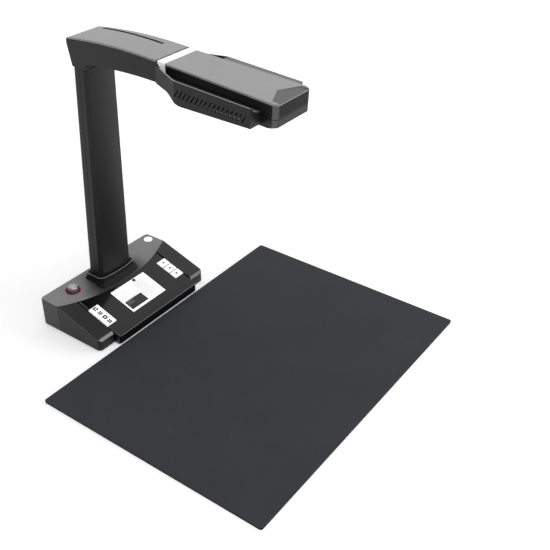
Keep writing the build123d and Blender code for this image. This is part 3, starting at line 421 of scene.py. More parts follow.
CHARCOAL = Finish("charcoal_plastic", (0.0140, 0.0140, 0.0145), 0.46, specular=0.28)
# left end shell: charcoal plastic with a painted highlight in pale grey on its front bevel, the faces whose
# normal has a Z near 0.59
LEFT_SHELL_PAINTED_HIGHLIGHT = PaintedLightAndShadeFinish(
    "left_shell_painted_highlight", (0.0150, 0.0150, 0.0155), 0.46, specular=0.28,
    second=(0.34, 0.34, 0.34), tone=Tone.LEANING, centre=0.59, start=0.05, stop=0.11)
# right end shell: the same plastic painted lighter than the left shell, as painted light, with a dimmer
# painted highlight on its front bevel
RIGHT_SHELL_PAINTED_LIGHT = PaintedLightAndShadeFinish(
    "right_shell_painted_light", (0.024, 0.024, 0.0245), 0.42, specular=0.30,
    second=(0.20, 0.20, 0.20), tone=Tone.LEANING, centre=0.59, start=0.05, stop=0.11)
# head shells: charcoal plastic with a painted highlight in mid grey on the front corner facets, whose
# normal has an X of about 0.84
HEAD_PAINTED_FACET_HIGHLIGHT = PaintedLightAndShadeFinish(
    "head_plastic_painted_facet_highlight", (0.0140, 0.0140, 0.0145), 0.46, specular=0.28,
    second=(0.16, 0.16, 0.16), tone=Tone.LEANING, axis="X", centre=0.84, start=0.06, stop=0.10)
# rear cover: the dark plastic painted mid grey on its top as painted light from above, near black round the
# column's foot as painted shade, and near black on its sides as on the rest of the body
REAR_COVER_PAINTED_LIGHT_AND_SHADE = PaintedLightAndShadeFinish(
    "rear_cover_painted_light_and_shade", (0.215, 0.215, 0.220), 0.45,
    second=(0.018, 0.018, 0.0185), tone=Tone.FOOT, place=(-0.004, 0.004, 0.041), start=0.030, stop=0.066)
# pale grey painted on the arm's dark top cover as light from above, and used for the painted highlight
# round the collar's rim
PAINTED_HIGHLIGHT_GREY = Finish("painted_highlight_grey", (0.330, 0.330, 0.335), 0.46)
# head's top plate: the dark plastic painted pale grey as light from above, and darker on faces of one
# slightly steeper lean, as painted shade
PLATE_PAINTED_LIGHT_AND_SHADE = PaintedLightAndShadeFinish(
    "head_plate_painted_light_and_shade", (0.330, 0.330, 0.335), 0.46,
    second=(0.098, 0.098, 0.100), tone=Tone.LEANING, centre=0.9945, start=0.0018, stop=0.0028)
GLOSS_BLACK = Finish(
    "gloss_black_plastic", (0.004, 0.004, 0.0045), 0.10, Grain.POLISHED, marks=0.03, specular=0.42,
    depth=0.01 * MM)
# black of the arm's slot window, and also the painted shade in the seam at the rear cover's front edge and
# in the gap behind the band
SLOT_BLACK_AND_GAP_SHADE = Finish("slot_black_and_painted_gap_shade", (0.002, 0.002, 0.002), 0.60, specular=0.02)
# wings: charcoal plastic whose groove, on faces that look up, turns pale grey towards the outer rim,
# painted light that grows away from the shaded edge under the plate
WING_PAINTED_GROOVE_LIGHT = PaintedLightAndShadeFinish(
    "wing_painted_groove_light", (0.0150, 0.0150, 0.0155), 0.46, specular=0.28,
    second=(0.36, 0.36, 0.36), tone=Tone.GROOVE, place=HEAD_UP, centre=0.3746, start=0.0270, stop=0.0385)
COLLAR_DARK = Finish("collar_plastic", (0.008, 0.008, 0.0085), 0.50, specular=0.16)
WINDOW_BLACK = Finish("window_black", (0.002, 0.002, 0.0025), 0.22, Grain.POLISHED, specular=0.08)
# the joint band's glow is painted light; the band is white plastic, no lamp
BAND_WHITE = Finish("band_trim_painted_glow", (0.90, 0.90, 0.91), 0.28, Grain.POLISHED, mottle=0.02, glow=0.30)
# the keys' glow is painted light; the keys hold no lamp
KEY_WHITE = Finish("key_plastic_painted_glow", (0.92, 0.92, 0.92), 0.35, mottle=0.02, glow=0.55)
# the red ring's glow is painted light; the ring is plastic, no lamp
RED_RING = Finish("red_ring_painted_glow", (0.170, 0.003, 0.012), 0.34, Grain.POLISHED, specular=0.3, glow=0.25)
SILVER_CAP = Finish(
    "silver_cap", (0.40, 0.40, 0.41), 0.36, Grain.BRUSHED, grain_size=0.3 * MM, metallic=0.75)
BLUE_LIGHT = Finish("blue_light", (0.16, 0.14, 0.42), 0.25, Grain.POLISHED, glow=0.35)
RUBBER = Finish("pad_rubber", (0.020, 0.020, 0.020), 0.80, grain_size=0.9 * MM, depth=0.08 * MM)
STEEL = Finish("zinc_steel", (0.42, 0.42, 0.43), 0.38, Grain.BRUSHED, metallic=1.0)
SCREW_STEEL = Finish(
    "screw_zinc", (0.30, 0.30, 0.31), 0.32, Grain.BRUSHED, grain_size=0.25 * MM, metallic=1.0)
CIRCUIT = Finish("solder_mask", (0.010, 0.110, 0.045), 0.35, coat=0.5, mottle=0.35)
DIFFUSER = Finish("milky_diffuser", (0.82, 0.82, 0.80), 0.40, mottle=0.03, glow=0.15)
LENS_BLACK = Finish("lens_barrel_black", (0.012, 0.012, 0.012), 0.30, Grain.BRUSHED, metallic=0.3)
LENS_COAT = Finish(
    "coated_lens", (0.012, 0.010, 0.030), 0.04, Grain.POLISHED, coat=1.0, coat_roughness=0.02)
FILM = Finish("ribbon_film", (0.62, 0.58, 0.48), 0.40, mottle=0.08)
SOCKET_NICKEL = Finish(
    "socket_nickel", (0.55, 0.55, 0.56), 0.28, Grain.BRUSHED, grain_size=0.2 * MM, metallic=1.0)
SOCKET_BLACK = Finish("socket_plastic", (0.014, 0.014, 0.014), 0.55)
# mat: charcoal leather-like grain, with its side faces painted near black as painted shade
MAT_PAINTED_SIDE_SHADE = PaintedLightAndShadeFinish(
    "mat_painted_side_shade", (0.034, 0.035, 0.042), 0.66, Grain.PEBBLE, grain_size=1.5 * MM, depth=0.22 * MM,
    mottle=0.24, specular=0.24, second=(0.006, 0.006, 0.007), tone=Tone.SIDES, start=0.3, stop=0.8)
SCREEN_BACK = Finish(
    "display_cover", (0.004, 0.004, 0.005), 0.08, Grain.POLISHED, marks=0.02, specular=0.4)
PAGE_WHITE = Finish(
    "preview_page", (0.90, 0.90, 0.91), 0.20, Grain.POLISHED, mottle=0.01, glow=0.60)
PRINT_PALE = Finish("preview_line", (0.40, 0.40, 0.42), 0.20, Grain.POLISHED)
PRINT_GREY = Finish("preview_shade", (0.085, 0.085, 0.090), 0.20, Grain.POLISHED)
PRINT_DARK = Finish("preview_block", (0.008, 0.008, 0.009), 0.20, Grain.POLISHED)
ICON_DARK = Finish("key_print", (0.012, 0.012, 0.014), 0.40)
ICON_GREY = Finish("key_dot", (0.12, 0.12, 0.125), 0.40)


# ---------------------------------------------------------------- CAD nodes and pieces
def dress(node: str, finish: Finish) -> None:
    """Give a CAD node its finish.

    Args:
        node: Name of the node.
        finish: The finish that it shows.
    """
    part = frame["nodes"][node]
    if not part.material_slots:
        part.data.materials.append(finish.material())
    for place in part.material_slots:
        place.material = finish.material()
    log.info("dressed %s in %s", node, finish.name)


def dress_all(finishes: dict[str, Finish]) -> None:
    """Give each CAD node that the table names its finish."""
    for node, finish in finishes.items():
        dress(node, finish)


def corners_of(node: str) -> list[Vector]:
    """Return the corners of a CAD node's mesh."""
    return [vertex.co for vertex in frame["nodes"][node].data.vertices]


def add_piece(name: str, mesh: Mesh, finish: Finish, body: str) -> None:
    """Put a finished mesh in the scene as a piece of the object.

    Args:
        name: Name of the piece.
        mesh: Its mesh, in the row frame.
        finish: The finish that it shows.
        body: The CAD body that it rides on.
    """
    mesh.name = name
    mesh.materials.clear()
    mesh.materials.append(finish.material())
    piece = bpy.data.objects.new(name, mesh)
    bpy.context.scene.collection.objects.link(piece)
    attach(piece, body)
    log.info("made %s with %d faces on %s", name, len(mesh.polygons), body)


@dataclass(frozen=True)
class FlatFace:
    """The outer flat face of a CAD node, with its own axes and size in metres."""

    corner: Vector
    across: Vector
    along: Vector
    normal: Vector
    width: float
    height: float

    @classmethod
    def of_node(cls, node: str, normal: Vector, across: Vector) -> "FlatFace":
        """Find a node's face by the direction that it looks in.

        Args:
            node: Name of the node.
            normal: Unit vector out of the face.
            across: Unit vector along the face's width.

        Returns:
            The face that lies furthest along the normal.
        """
        along = normal.cross(across)
        corners = corners_of(node)
        top = max(c.dot(normal) for c in corners)
        face = [c for c in corners if c.dot(normal) > top - FACE_REACH]
        left, right = min(c.dot(across) for c in face), max(c.dot(across) for c in face)
        low, high = min(c.dot(along) for c in face), max(c.dot(along) for c in face)
        corner = across * left + along * low + normal * top
        return cls(corner, across, along, normal, right - left, high - low)

    def matrix(self) -> Matrix:
        """Return the placement of a mesh drawn on this face, in metres from its corner."""
        turned = Matrix((self.across, self.along, self.normal)).transposed().to_4x4()
        return Matrix.Translation(self.corner) @ turned


def slope_face(node: str) -> FlatFace:
    """Return a node's face on the base's sloping top, which looks against the keys' travel."""
    travel = next(j["axis"] for j in frame["joints"] if j["name"] == "left_key_1_press")
    return FlatFace.of_node(node, -Vector(travel).normalized(), Vector((1, 0, 0)))


# ---------------------------------------------------------------- boxes and outlines
def add_box(made: bmesh.types.BMesh, size: Vector, centre: Vector) -> None:
    """Add a box to a mesh that is being made, by its size and its centre."""
    place = Matrix.Translation(centre) @ Matrix.Diagonal((*size, 1.0))
    bmesh.ops.create_cube(made, size=1.0, matrix=place)


def finish_mesh(made: bmesh.types.BMesh, name: str) -> Mesh:
    """Turn a mesh that is being made into a plain one with outward normals.

    Args:
        made: The mesh that is being made; it is freed.
        name: Name of the plain mesh.

    Returns:
        The plain mesh.
    """
    bmesh.ops.recalc_face_normals(made, faces=made.faces)
    mesh = bpy.data.meshes.new(name)
    made.to_mesh(mesh)
    made.free()
    return mesh


def bar_mesh(bars: list[Edges], sunk: float, proud: float) -> Mesh:
    """Make flat bars on a face.

    Args:
        bars: Edges of each bar, in metres on the face.
        sunk: How far the bars reach below the face.
        proud: How far they stand above it.

    Returns:
        One mesh with all the bars.
    """
    made = bmesh.new()
    for left, right, low, high in bars:
        size = Vector((right - left, high - low, proud + sunk))
        centre = Vector(((left + right) / 2, (low + high) / 2, (proud - sunk) / 2))
        add_box(made, size, centre)
    return finish_mesh(made, "bars")


def top_outline(node: str, depth: float) -> list[Vector]:
    """Return the convex outline of a node's topmost points, seen from above.

    Args:
        node: Name of the CAD node.
        depth: How far below its highest point a corner still counts.

    Returns:
        The outline's points in order, all at the node's top height.
    """
    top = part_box(node)[1].z
    found = {(round(c.x, SAME_PLACE_DIGITS), round(c.y, SAME_PLACE_DIGITS))
             for c in corners_of(node) if c.z > top - depth}
    ordered = sorted(found)
    halves = []
    for run in (ordered, ordered[::-1]):
        chain: list[tuple[float, float]] = []
        for point in run:
            while len(chain) > 1 and turn(chain[-2], chain[-1], point) <= 0:
                chain.pop()
            chain.append(point)
        halves += chain[:-1]
    return [Vector((x, y, top)) for x, y in halves]


def turn(a: tuple[float, float], b: tuple[float, float], c: tuple[float, float]) -> float:
    """Return a positive number where the path a, b, c turns left."""
    return (b[0] - a[0]) * (c[1] - a[1]) - (b[1] - a[1]) * (c[0] - a[0])


# ---------------------------------------------------------------- Geometry Nodes
class NodeTree:
    """A Geometry Nodes tree under construction, with named inputs."""

    def __init__(self, name: str) -> None:
        """Start an empty tree.

        Args:
            name: Name of the tree.
        """
        self.tree = bpy.data.node_groups.new(name, "GeometryNodeTree")
        self.tree.interface.new_socket(name="Geometry", in_out="OUTPUT", socket_type="NodeSocketGeometry")
        self.source = self.tree.nodes.new("NodeGroupInput")
        self.sink = self.tree.nodes.new("NodeGroupOutput")
        self.names: dict[str, str] = {}

    def add_input(self, name: str, kind: str) -> Socket:
        """Add a named input.

        Args:
            name: Name of the input.
            kind: Blender's name of its socket type.

        Returns:
            The input's socket inside the tree.
        """
        item = self.tree.interface.new_socket(name=name, in_out="INPUT", socket_type=kind)
        self.names[name] = item.identifier
        return self.source.outputs[name]

    def add(self, kind: str, **links: Socket) -> bpy.types.Node:
        """Add a node.

        Args:
            kind: Blender's name of the node type.
            links: Sockets for the node's inputs, by name with _ for a space.

        Returns:
            The new node.
        """
        node = self.tree.nodes.new(kind)
        for name, socket in links.items():
            self.tree.links.new(socket, node.inputs[name.replace("_", " ")])
        return node

    def end(self, geometry: Socket, finish: Finish) -> None:
        """Realize the instances, set the material and close the tree.

        Args:
            geometry: What the tree makes.
            finish: Finish of the whole mesh.
        """
        real = self.add("GeometryNodeRealizeInstances", Geometry=geometry)
        painted = self.add("GeometryNodeSetMaterial", Geometry=real.outputs["Geometry"])
        painted.inputs["Material"].default_value = finish.material()
        self.tree.links.new(painted.outputs["Geometry"], self.sink.inputs["Geometry"])

    def run(self, data: bpy.types.ID, **values: object) -> Mesh:
        """Evaluate the tree on a mesh or a curve.

        Args:
            data: The mesh or curve that goes in.
            values: The inputs' values, by name with _ for a space.

        Returns:
            The plain mesh that comes out.
        """
        holder = bpy.data.objects.new(data.name, data)
        bpy.context.scene.collection.objects.link(holder)
        modifier = holder.modifiers.new("nodes", "NODES")
        modifier.node_group = self.tree
        for name, value in values.items():
            modifier[self.names[name.replace("_", " ")]] = value
        bpy.context.view_layer.update()
        result = holder.evaluated_get(bpy.context.evaluated_depsgraph_get())
        mesh = bpy.data.meshes.new_from_object(result)
        holder.modifiers.remove(modifier)
        bpy.data.objects.remove(holder)
        return mesh


def bar_rows(count: int, pitch: float, size: Point, ragged: float, seed: int, finish: Finish) -> Mesh:
    """Make a column of bars that start in line and end raggedly, as lines of print do.

    Args:
        count: Number of bars.
        pitch: Distance from one bar to the next, in metres.
        size: Length, height and thickness of a bar.
        ragged: Share by which the shortest bar is shorter than the longest.
        seed: Seed of the lengths.
        finish: Finish of the bars.

    Returns:
        The mesh, starting at the origin and going up +Y.
    """
    rows = NodeTree("bar_rows")
    line = rows.add("GeometryNodeMeshLine", Count=rows.add_input("Count", "NodeSocketInt"),
                    Offset=rows.add_input("Step", "NodeSocketVector"))
    bar = rows.add("GeometryNodeMeshCube", Size=rows.add_input("Bar", "NodeSocketVector"))
    shifted = rows.add("GeometryNodeTransform", Geometry=bar.outputs["Mesh"],
                       Translation=rows.add_input("Start", "NodeSocketVector"))
    lengths = rows.add("FunctionNodeRandomValue", Seed=rows.add_input("Seed", "NodeSocketInt"))
    lengths.data_type = "FLOAT_VECTOR"
    rows.tree.links.new(rows.add_input("Shortest", "NodeSocketVector"), lengths.inputs[RANDOM_LEAST])
    lengths.inputs[RANDOM_MOST].default_value = (1.0, 1.0, 1.0)
    placed = rows.add("GeometryNodeInstanceOnPoints", Points=line.outputs["Mesh"],
                      Instance=shifted.outputs["Geometry"], Scale=lengths.outputs["Value"])
    rows.end(placed.outputs["Instances"], finish)
    return rows.run(bpy.data.meshes.new("rows"), Count=count, Step=(0.0, pitch, 0.0), Bar=size,
                    Start=(size[0] / 2, 0.0, 0.0), Shortest=(1.0 - ragged, 1.0, 1.0), Seed=seed)


def trim_along(points: list[Vector], closed: bool, width: float, height: float, finish: Finish) -> Mesh:
    """Carry a small rectangular section along a path.

    Args:
        points: The path's points, in the row frame.
        closed: Whether the path is a loop.
        width: Width of the section across the path.
        height: Height of the section.
        finish: Finish of the trim.

    Returns:
        The trim's mesh.
    """
    path = bpy.data.curves.new("path", "CURVE")
    path.dimensions = "3D"
    spline = path.splines.new("POLY")
    spline.points.add(len(points) - 1)
    for target, point in zip(spline.points, points):
        target.co = (*point, 1.0)
    spline.use_cyclic_u = closed
    trim = NodeTree("trim_along")
    route = trim.add_input("Route", "NodeSocketGeometry")
    section = trim.add("GeometryNodeCurvePrimitiveQuadrilateral",
                       Width=trim.add_input("Width", "NodeSocketFloat"),
                       Height=trim.add_input("Height", "NodeSocketFloat"))
    swept = trim.add("GeometryNodeCurveToMesh", Curve=route, Profile_Curve=section.outputs["Curve"])
    swept.inputs["Fill Caps"].default_value = not closed
    trim.end(swept.outputs["Mesh"], finish)
    return trim.run(path, Width=width, Height=height)


# ---------------------------------------------------------------- base
@dataclass(frozen=True)
class PrintColumn:
    """A column of printed lines: its edges as shares of the page, its count of lines and its seed."""

    name: str
    edges: Edges
    lines: int
    seed: int


@dataclass
class Preview:
    """The page that the display shows: pale print, a picture block and a small dark block.

    The edges of its parts are shares of the display's width and height.
    """

    border: float = 0.9 * MM
    proud: float = 0.05 * MM
    sunk: float = 0.02 * MM
    layer: float = 0.03 * MM
    line_height: float = 0.75 * MM
    ragged: float = 0.35
    picture: Edges = (0.05, 0.52, 0.10, 0.44)
    pale_part: Edges = (0.08, 0.26, 0.28, 0.41)
    block: Edges = (0.62, 0.70, 0.87, 0.965)
    columns: tuple[PrintColumn, ...] = (
        PrintColumn("preview_right_lines", (0.53, 0.94, 0.16, 0.84), lines=13, seed=5),
        PrintColumn("preview_left_lines", (0.08, 0.40, 0.46, 0.74), lines=5, seed=9))

    def build(self) -> None:
        """Lay the page and its print on the display's glass."""
        face = slope_face("display_glass")
        paper = (self.border, face.width - self.border, self.border, face.height - self.border)
        self._lay(bar_mesh([paper], self.sunk, self.proud), face, "preview_page", PAGE_WHITE)
        top = self.proud
        self._lay(self._patch(face, self.picture, top), face, "preview_picture", PRINT_DARK)
        self._lay(self._patch(face, self.pale_part, top + self.layer), face, "preview_picture_light",
                  PRINT_GREY)
        self._lay(self._patch(face, self.block, top), face, "preview_block", PRINT_DARK)
        for column in self.columns:
            self._lay_column(face, column)

    def _patch(self, face: FlatFace, share: Edges, lift: float) -> Mesh:
        """Make a flat patch over a share of the face.

        Args:
            face: The display's face.
            share: The patch's edges, as shares of the face.
            lift: How far above the face it starts.

        Returns:
            The patch, drawn on the face.
        """
        left, right, low, high = share
        edges = (left * face.width, right * face.width, low * face.height, high * face.height)
        mesh = bar_mesh([edges], 0.0, self.layer)
        mesh.transform(Matrix.Translation((0, 0, lift)))
        return mesh

    def _lay_column(self, face: FlatFace, column: PrintColumn) -> None:
        """Lay one column of printed lines on the page.

        Args:
            face: The display's face.
            column: The column.
        """
        left, right, low, high = column.edges
        pitch = (high - low) * face.height / (column.lines - 1)
        size = ((right - left) * face.width, self.line_height, self.layer)
        mesh = bar_rows(column.lines, pitch, size, self.ragged, column.seed, PRINT_PALE)
        lift = self.proud + self.layer / 2
        mesh.transform(Matrix.Translation((left * face.width, low * face.height, lift)))
        self._lay(mesh, face, column.name, PRINT_PALE)

    def _lay(self, mesh: Mesh, face: FlatFace, name: str, finish: Finish) -> None:
        """Place a mesh drawn on the face and add it as a piece."""
        mesh.transform(face.matrix())
        add_piece(name, mesh, finish, "stand")


@dataclass
class KeyPrint:
    """Generic symbols on the keys: bars and frames on the left, a dot on the right."""

    thickness: float = 0.04 * MM
    stroke: float = 2.0 * MM
    icon: float = 6.2 * MM
    bar_share: float = 0.72
    dot_radius: float = 1.8 * MM
    dot_sides: int = 24
    right_keys: int = 3

    def build(self) -> None:
        """Print a symbol on every key."""
        symbols = [self._bars(2), self._frame(), self._bars(3), self._corner()]
        for number, symbol in enumerate(symbols, start=1):
            key = f"left_key_{number}"
            self._print(key, "symbol", bar_mesh(symbol, self.thickness, self.thickness), ICON_DARK)
        for number in range(1, self.right_keys + 1):
            self._print(f"right_key_{number}", "dot", self._dot(), ICON_GREY)

    def _frame(self) -> list[Edges]:
        """Make a square frame about the origin.

        Returns:
            The edges of its four bars.
        """
        half, line = self.icon / 2, self.stroke
        return [(-half, half, half - line, half), (-half, half, -half, line - half),
                (-half, line - half, line - half, half - line),
                (half - line, half, line - half, half - line)]

    def _bars(self, count: int) -> list[Edges]:
        """Make upright bars side by side about the origin.

        Args:
            count: Number of bars.

        Returns:
            The bars' edges.
        """
        half = self.icon / 2
        pitch = self.icon / count
        bar = self.bar_share * pitch
        return [(-half + i * pitch, -half + i * pitch + bar, -half, half) for i in range(count)]

    def _corner(self) -> list[Edges]:
        """Make an angle with a square inside it, about the origin.

        Returns:
            The edges of its three bars.
        """
        half, line = self.icon / 2, self.stroke
        return [(-half, half, half - line, half), (-half, line - half, -half, half - line),
                (0.0, half, -half, 0.0)]

    def _dot(self) -> Mesh:
        """Make a round dot about the origin.

        Returns:
            The dot's mesh.
        """
        made = bmesh.new()
        bmesh.ops.create_cone(made, cap_ends=True, segments=self.dot_sides, radius1=self.dot_radius,
                              radius2=self.dot_radius, depth=2 * self.thickness)
        return finish_mesh(made, "dot")

    def _print(self, key: str, kind: str, mesh: Mesh, finish: Finish) -> None:
        """Print a symbol in the middle of a key's top.

        Args:
            key: The key's node, which is also its body.
            kind: What the symbol is, for the piece's name.
            mesh: The symbol, drawn about the origin.
            finish: The finish that it shows.
        """
        face = slope_face(key)
        mesh.transform(Matrix.Translation((face.width / 2, face.height / 2, 0)))
        mesh.transform(face.matrix())
        add_piece(f"{key}_{kind}", mesh, finish, key)


@dataclass
class BaseUnit:
    """Base housing with its panel, keys, buttons, lights and sockets.

    A dark strip of painted shade lies in the seam at the rear cover's front edge, an arc seen from above:
    seam_middle and seam_side are its Y in the middle and at its ends, and seam_reach is half its width.
    """

    # width and height of the black strip of painted shade in the seam, wider than the seam's gap
    seam_shade_width: float = 1.7 * MM
    seam_shade_height: float = 0.4 * MM
    seam_middle: float = -1.5 * MM
    seam_side: float = 20.5 * MM
    seam_reach: float = 105.0 * MM
    seam_slack: float = 0.6 * MM  # a corner this close to the arc lies on it
    seam_fall: float = 12.0 * MM  # the seam ends where the edge is this far below its highest point
    finishes: dict[str, Finish] = field(default_factory=lambda: {
        "left_end_shell": LEFT_SHELL_PAINTED_HIGHLIGHT, "right_end_shell": RIGHT_SHELL_PAINTED_LIGHT, "base_tray": CHARCOAL,
        "port_panel": CHARCOAL, "rear_cover": REAR_COVER_PAINTED_LIGHT_AND_SHADE, "centre_panel": GLOSS_BLACK,
        "display_glass": SCREEN_BACK, "display_module": CHARCOAL, "power_ring": RED_RING,
        "power_button": SILVER_CAP, "lamp_button": KEY_WHITE, "status_lights": BLUE_LIGHT,
        "non_slip_pad": RUBBER, "ballast_plate": STEEL, "base_screws": SCREW_STEEL,
        "board_screws": SCREW_STEEL, "board_standoffs": SCREW_STEEL, "main_board": CIRCUIT,
        "left_key_board": CIRCUIT, "right_key_board": CIRCUIT, "power_button_board": CIRCUIT,
        "lamp_button_board": CIRCUIT, "data_socket": SOCKET_NICKEL, "power_jack": SOCKET_BLACK})
    preview: Preview = field(default_factory=Preview)
    key_print: KeyPrint = field(default_factory=KeyPrint)

    def build(self) -> None:
        """Dress the base, print on its display and keys, and lay painted shade along the seam."""
        dress_all(self.finishes)
        dress_all({body: KEY_WHITE for body in frame["bodies"] if "_key_" in body})
        self.preview.build()
        self.key_print.build()
        line = trim_along(self._seam_points(), False, self.seam_shade_width, self.seam_shade_height, SLOT_BLACK_AND_GAP_SHADE)
        add_piece("cover_seam_painted_shade", line, SLOT_BLACK_AND_GAP_SHADE, "stand")

    def _seam_points(self) -> list[Vector]:
        """Find the rear cover's curved front edge, one point for each millimetre of its width.

        Returns:
            The edge's points, left to right.
        """
        sag = self.seam_side - self.seam_middle
        radius = (self.seam_reach ** 2 + sag ** 2) / (2 * sag)
        centre = self.seam_middle + radius
        highest: dict[int, Vector] = {}
        for point in corners_of("rear_cover"):
            if abs(math.hypot(point.x, point.y - centre) - radius) > self.seam_slack:
                continue
            place = round(point.x / MM)
            if place not in highest or highest[place].z < point.z:
                highest[place] = point.copy()
        edge = [highest[place] for place in sorted(highest)]
        top = max(point.z for point in edge)
        return [point for point in edge if point.z > top - self.seam_fall]


# ---------------------------------------------------------------- column, arm and head
@dataclass
class Column:
    """Leaning column with its collar and a painted highlight, a pale line round the collar's rim."""

    # size of the painted highlight line round the collar's rim
    rim_highlight_width: float = 0.9 * MM
    line_height: float = 0.5 * MM
    rim_depth: float = 0.3 * MM
    finishes: dict[str, Finish] = field(default_factory=lambda: {
        "column_front_shell": CHARCOAL, "column_rear_shell": CHARCOAL, "column_collar": COLLAR_DARK,
        "column_spine": STEEL, "spine_screws": SCREW_STEEL, "ribbon_cable": FILM})

    def build(self) -> None:
        """Dress the column and lay the painted highlight round the collar's rim."""
        dress_all(self.finishes)
        rim = top_outline("column_collar", self.rim_depth)
        line = trim_along(rim, True, self.rim_highlight_width, self.line_height, PAINTED_HIGHLIGHT_GREY)
        add_piece("collar_rim_painted_highlight", line, PAINTED_HIGHLIGHT_GREY, "stand")


@dataclass
class Arm:
    """Arm over the mat: top cover painted pale as light, dark slot window, band, and painted shade behind
    the band.
    """

    # how far the block of painted shade behind the band sits below the cover's top, and inside its sides
    gap_shade_drop: float = 0.1 * MM
    gap_shade_margin: float = 0.2 * MM
    end_reach: float = 0.5 * MM  # corners this close to the top cover's front end lie on it
    finishes: dict[str, Finish] = field(default_factory=lambda: {
        "arm_shell": CHARCOAL, "arm_top_cover": PAINTED_HIGHLIGHT_GREY, "arm_slot_window": SLOT_BLACK_AND_GAP_SHADE,
        "joint_band": BAND_WHITE, "arm_bar": STEEL})

    def build(self) -> None:
        """Dress the arm and fill the gap behind the band with a block of painted shade."""
        dress_all(self.finishes)
        add_piece("band_gap_painted_shade", self._gap_shade(), SLOT_BLACK_AND_GAP_SHADE, "stand")

    def _gap_shade(self) -> Mesh:
        """Make the block of painted shade that fills the gap between the band and the top cover's front
        end.

        Returns:
            The block's mesh, just below the cover's top and inside its sides.
        """
        cover = corners_of("arm_top_cover")
        front = min(c.y for c in cover)
        end = [c for c in cover if c.y < front + self.end_reach]
        band_rear = max(c.y for c in corners_of("joint_band"))
        low = Vector((min(c.x for c in end) + self.gap_shade_margin, band_rear, min(c.z for c in end)))
        high = Vector((max(c.x for c in end) - self.gap_shade_margin, front,
                       max(c.z for c in end) - self.gap_shade_drop))
        made = bmesh.new()
        add_box(made, high - low, (low + high) / 2)
        return finish_mesh(made, "gap_shade_block")


@dataclass
class Head:
    """Camera head with its plate, front window, lens and lamp wings."""

    finishes: dict[str, Finish] = field(default_factory=lambda: {
        "head_top_plate": PLATE_PAINTED_LIGHT_AND_SHADE, "head_upper_shell": HEAD_PAINTED_FACET_HIGHLIGHT, "head_lower_shell": HEAD_PAINTED_FACET_HIGHLIGHT,
        "front_window": WINDOW_BLACK, "left_wing": WING_PAINTED_GROOVE_LIGHT, "right_wing": WING_PAINTED_GROOVE_LIGHT,
        "left_diffuser": DIFFUSER, "right_diffuser": DIFFUSER, "left_lamp_board": CIRCUIT,
        "right_lamp_board": CIRCUIT, "camera_board": CIRCUIT, "lens_barrel": LENS_BLACK,
        "lens_glass": LENS_COAT, "head_screws": SCREW_STEEL})

    def build(self) -> None:
        """Dress the head."""
        dress_all(self.finishes)


@dataclass
class WorkMat:
    """Flat mat that marks the scanning area."""

    finish: Finish = MAT_PAINTED_SIDE_SHADE

    def build(self) -> None:
        """Dress the mat."""
        dress("work_mat", self.finish)


# ---------------------------------------------------------------- studio
@dataclass(frozen=True)
class Softbox:
    """A square lamp that faces the object: its place and size in metres and its power in watts."""

    name: str
    place: Point
    size: float
    power: float


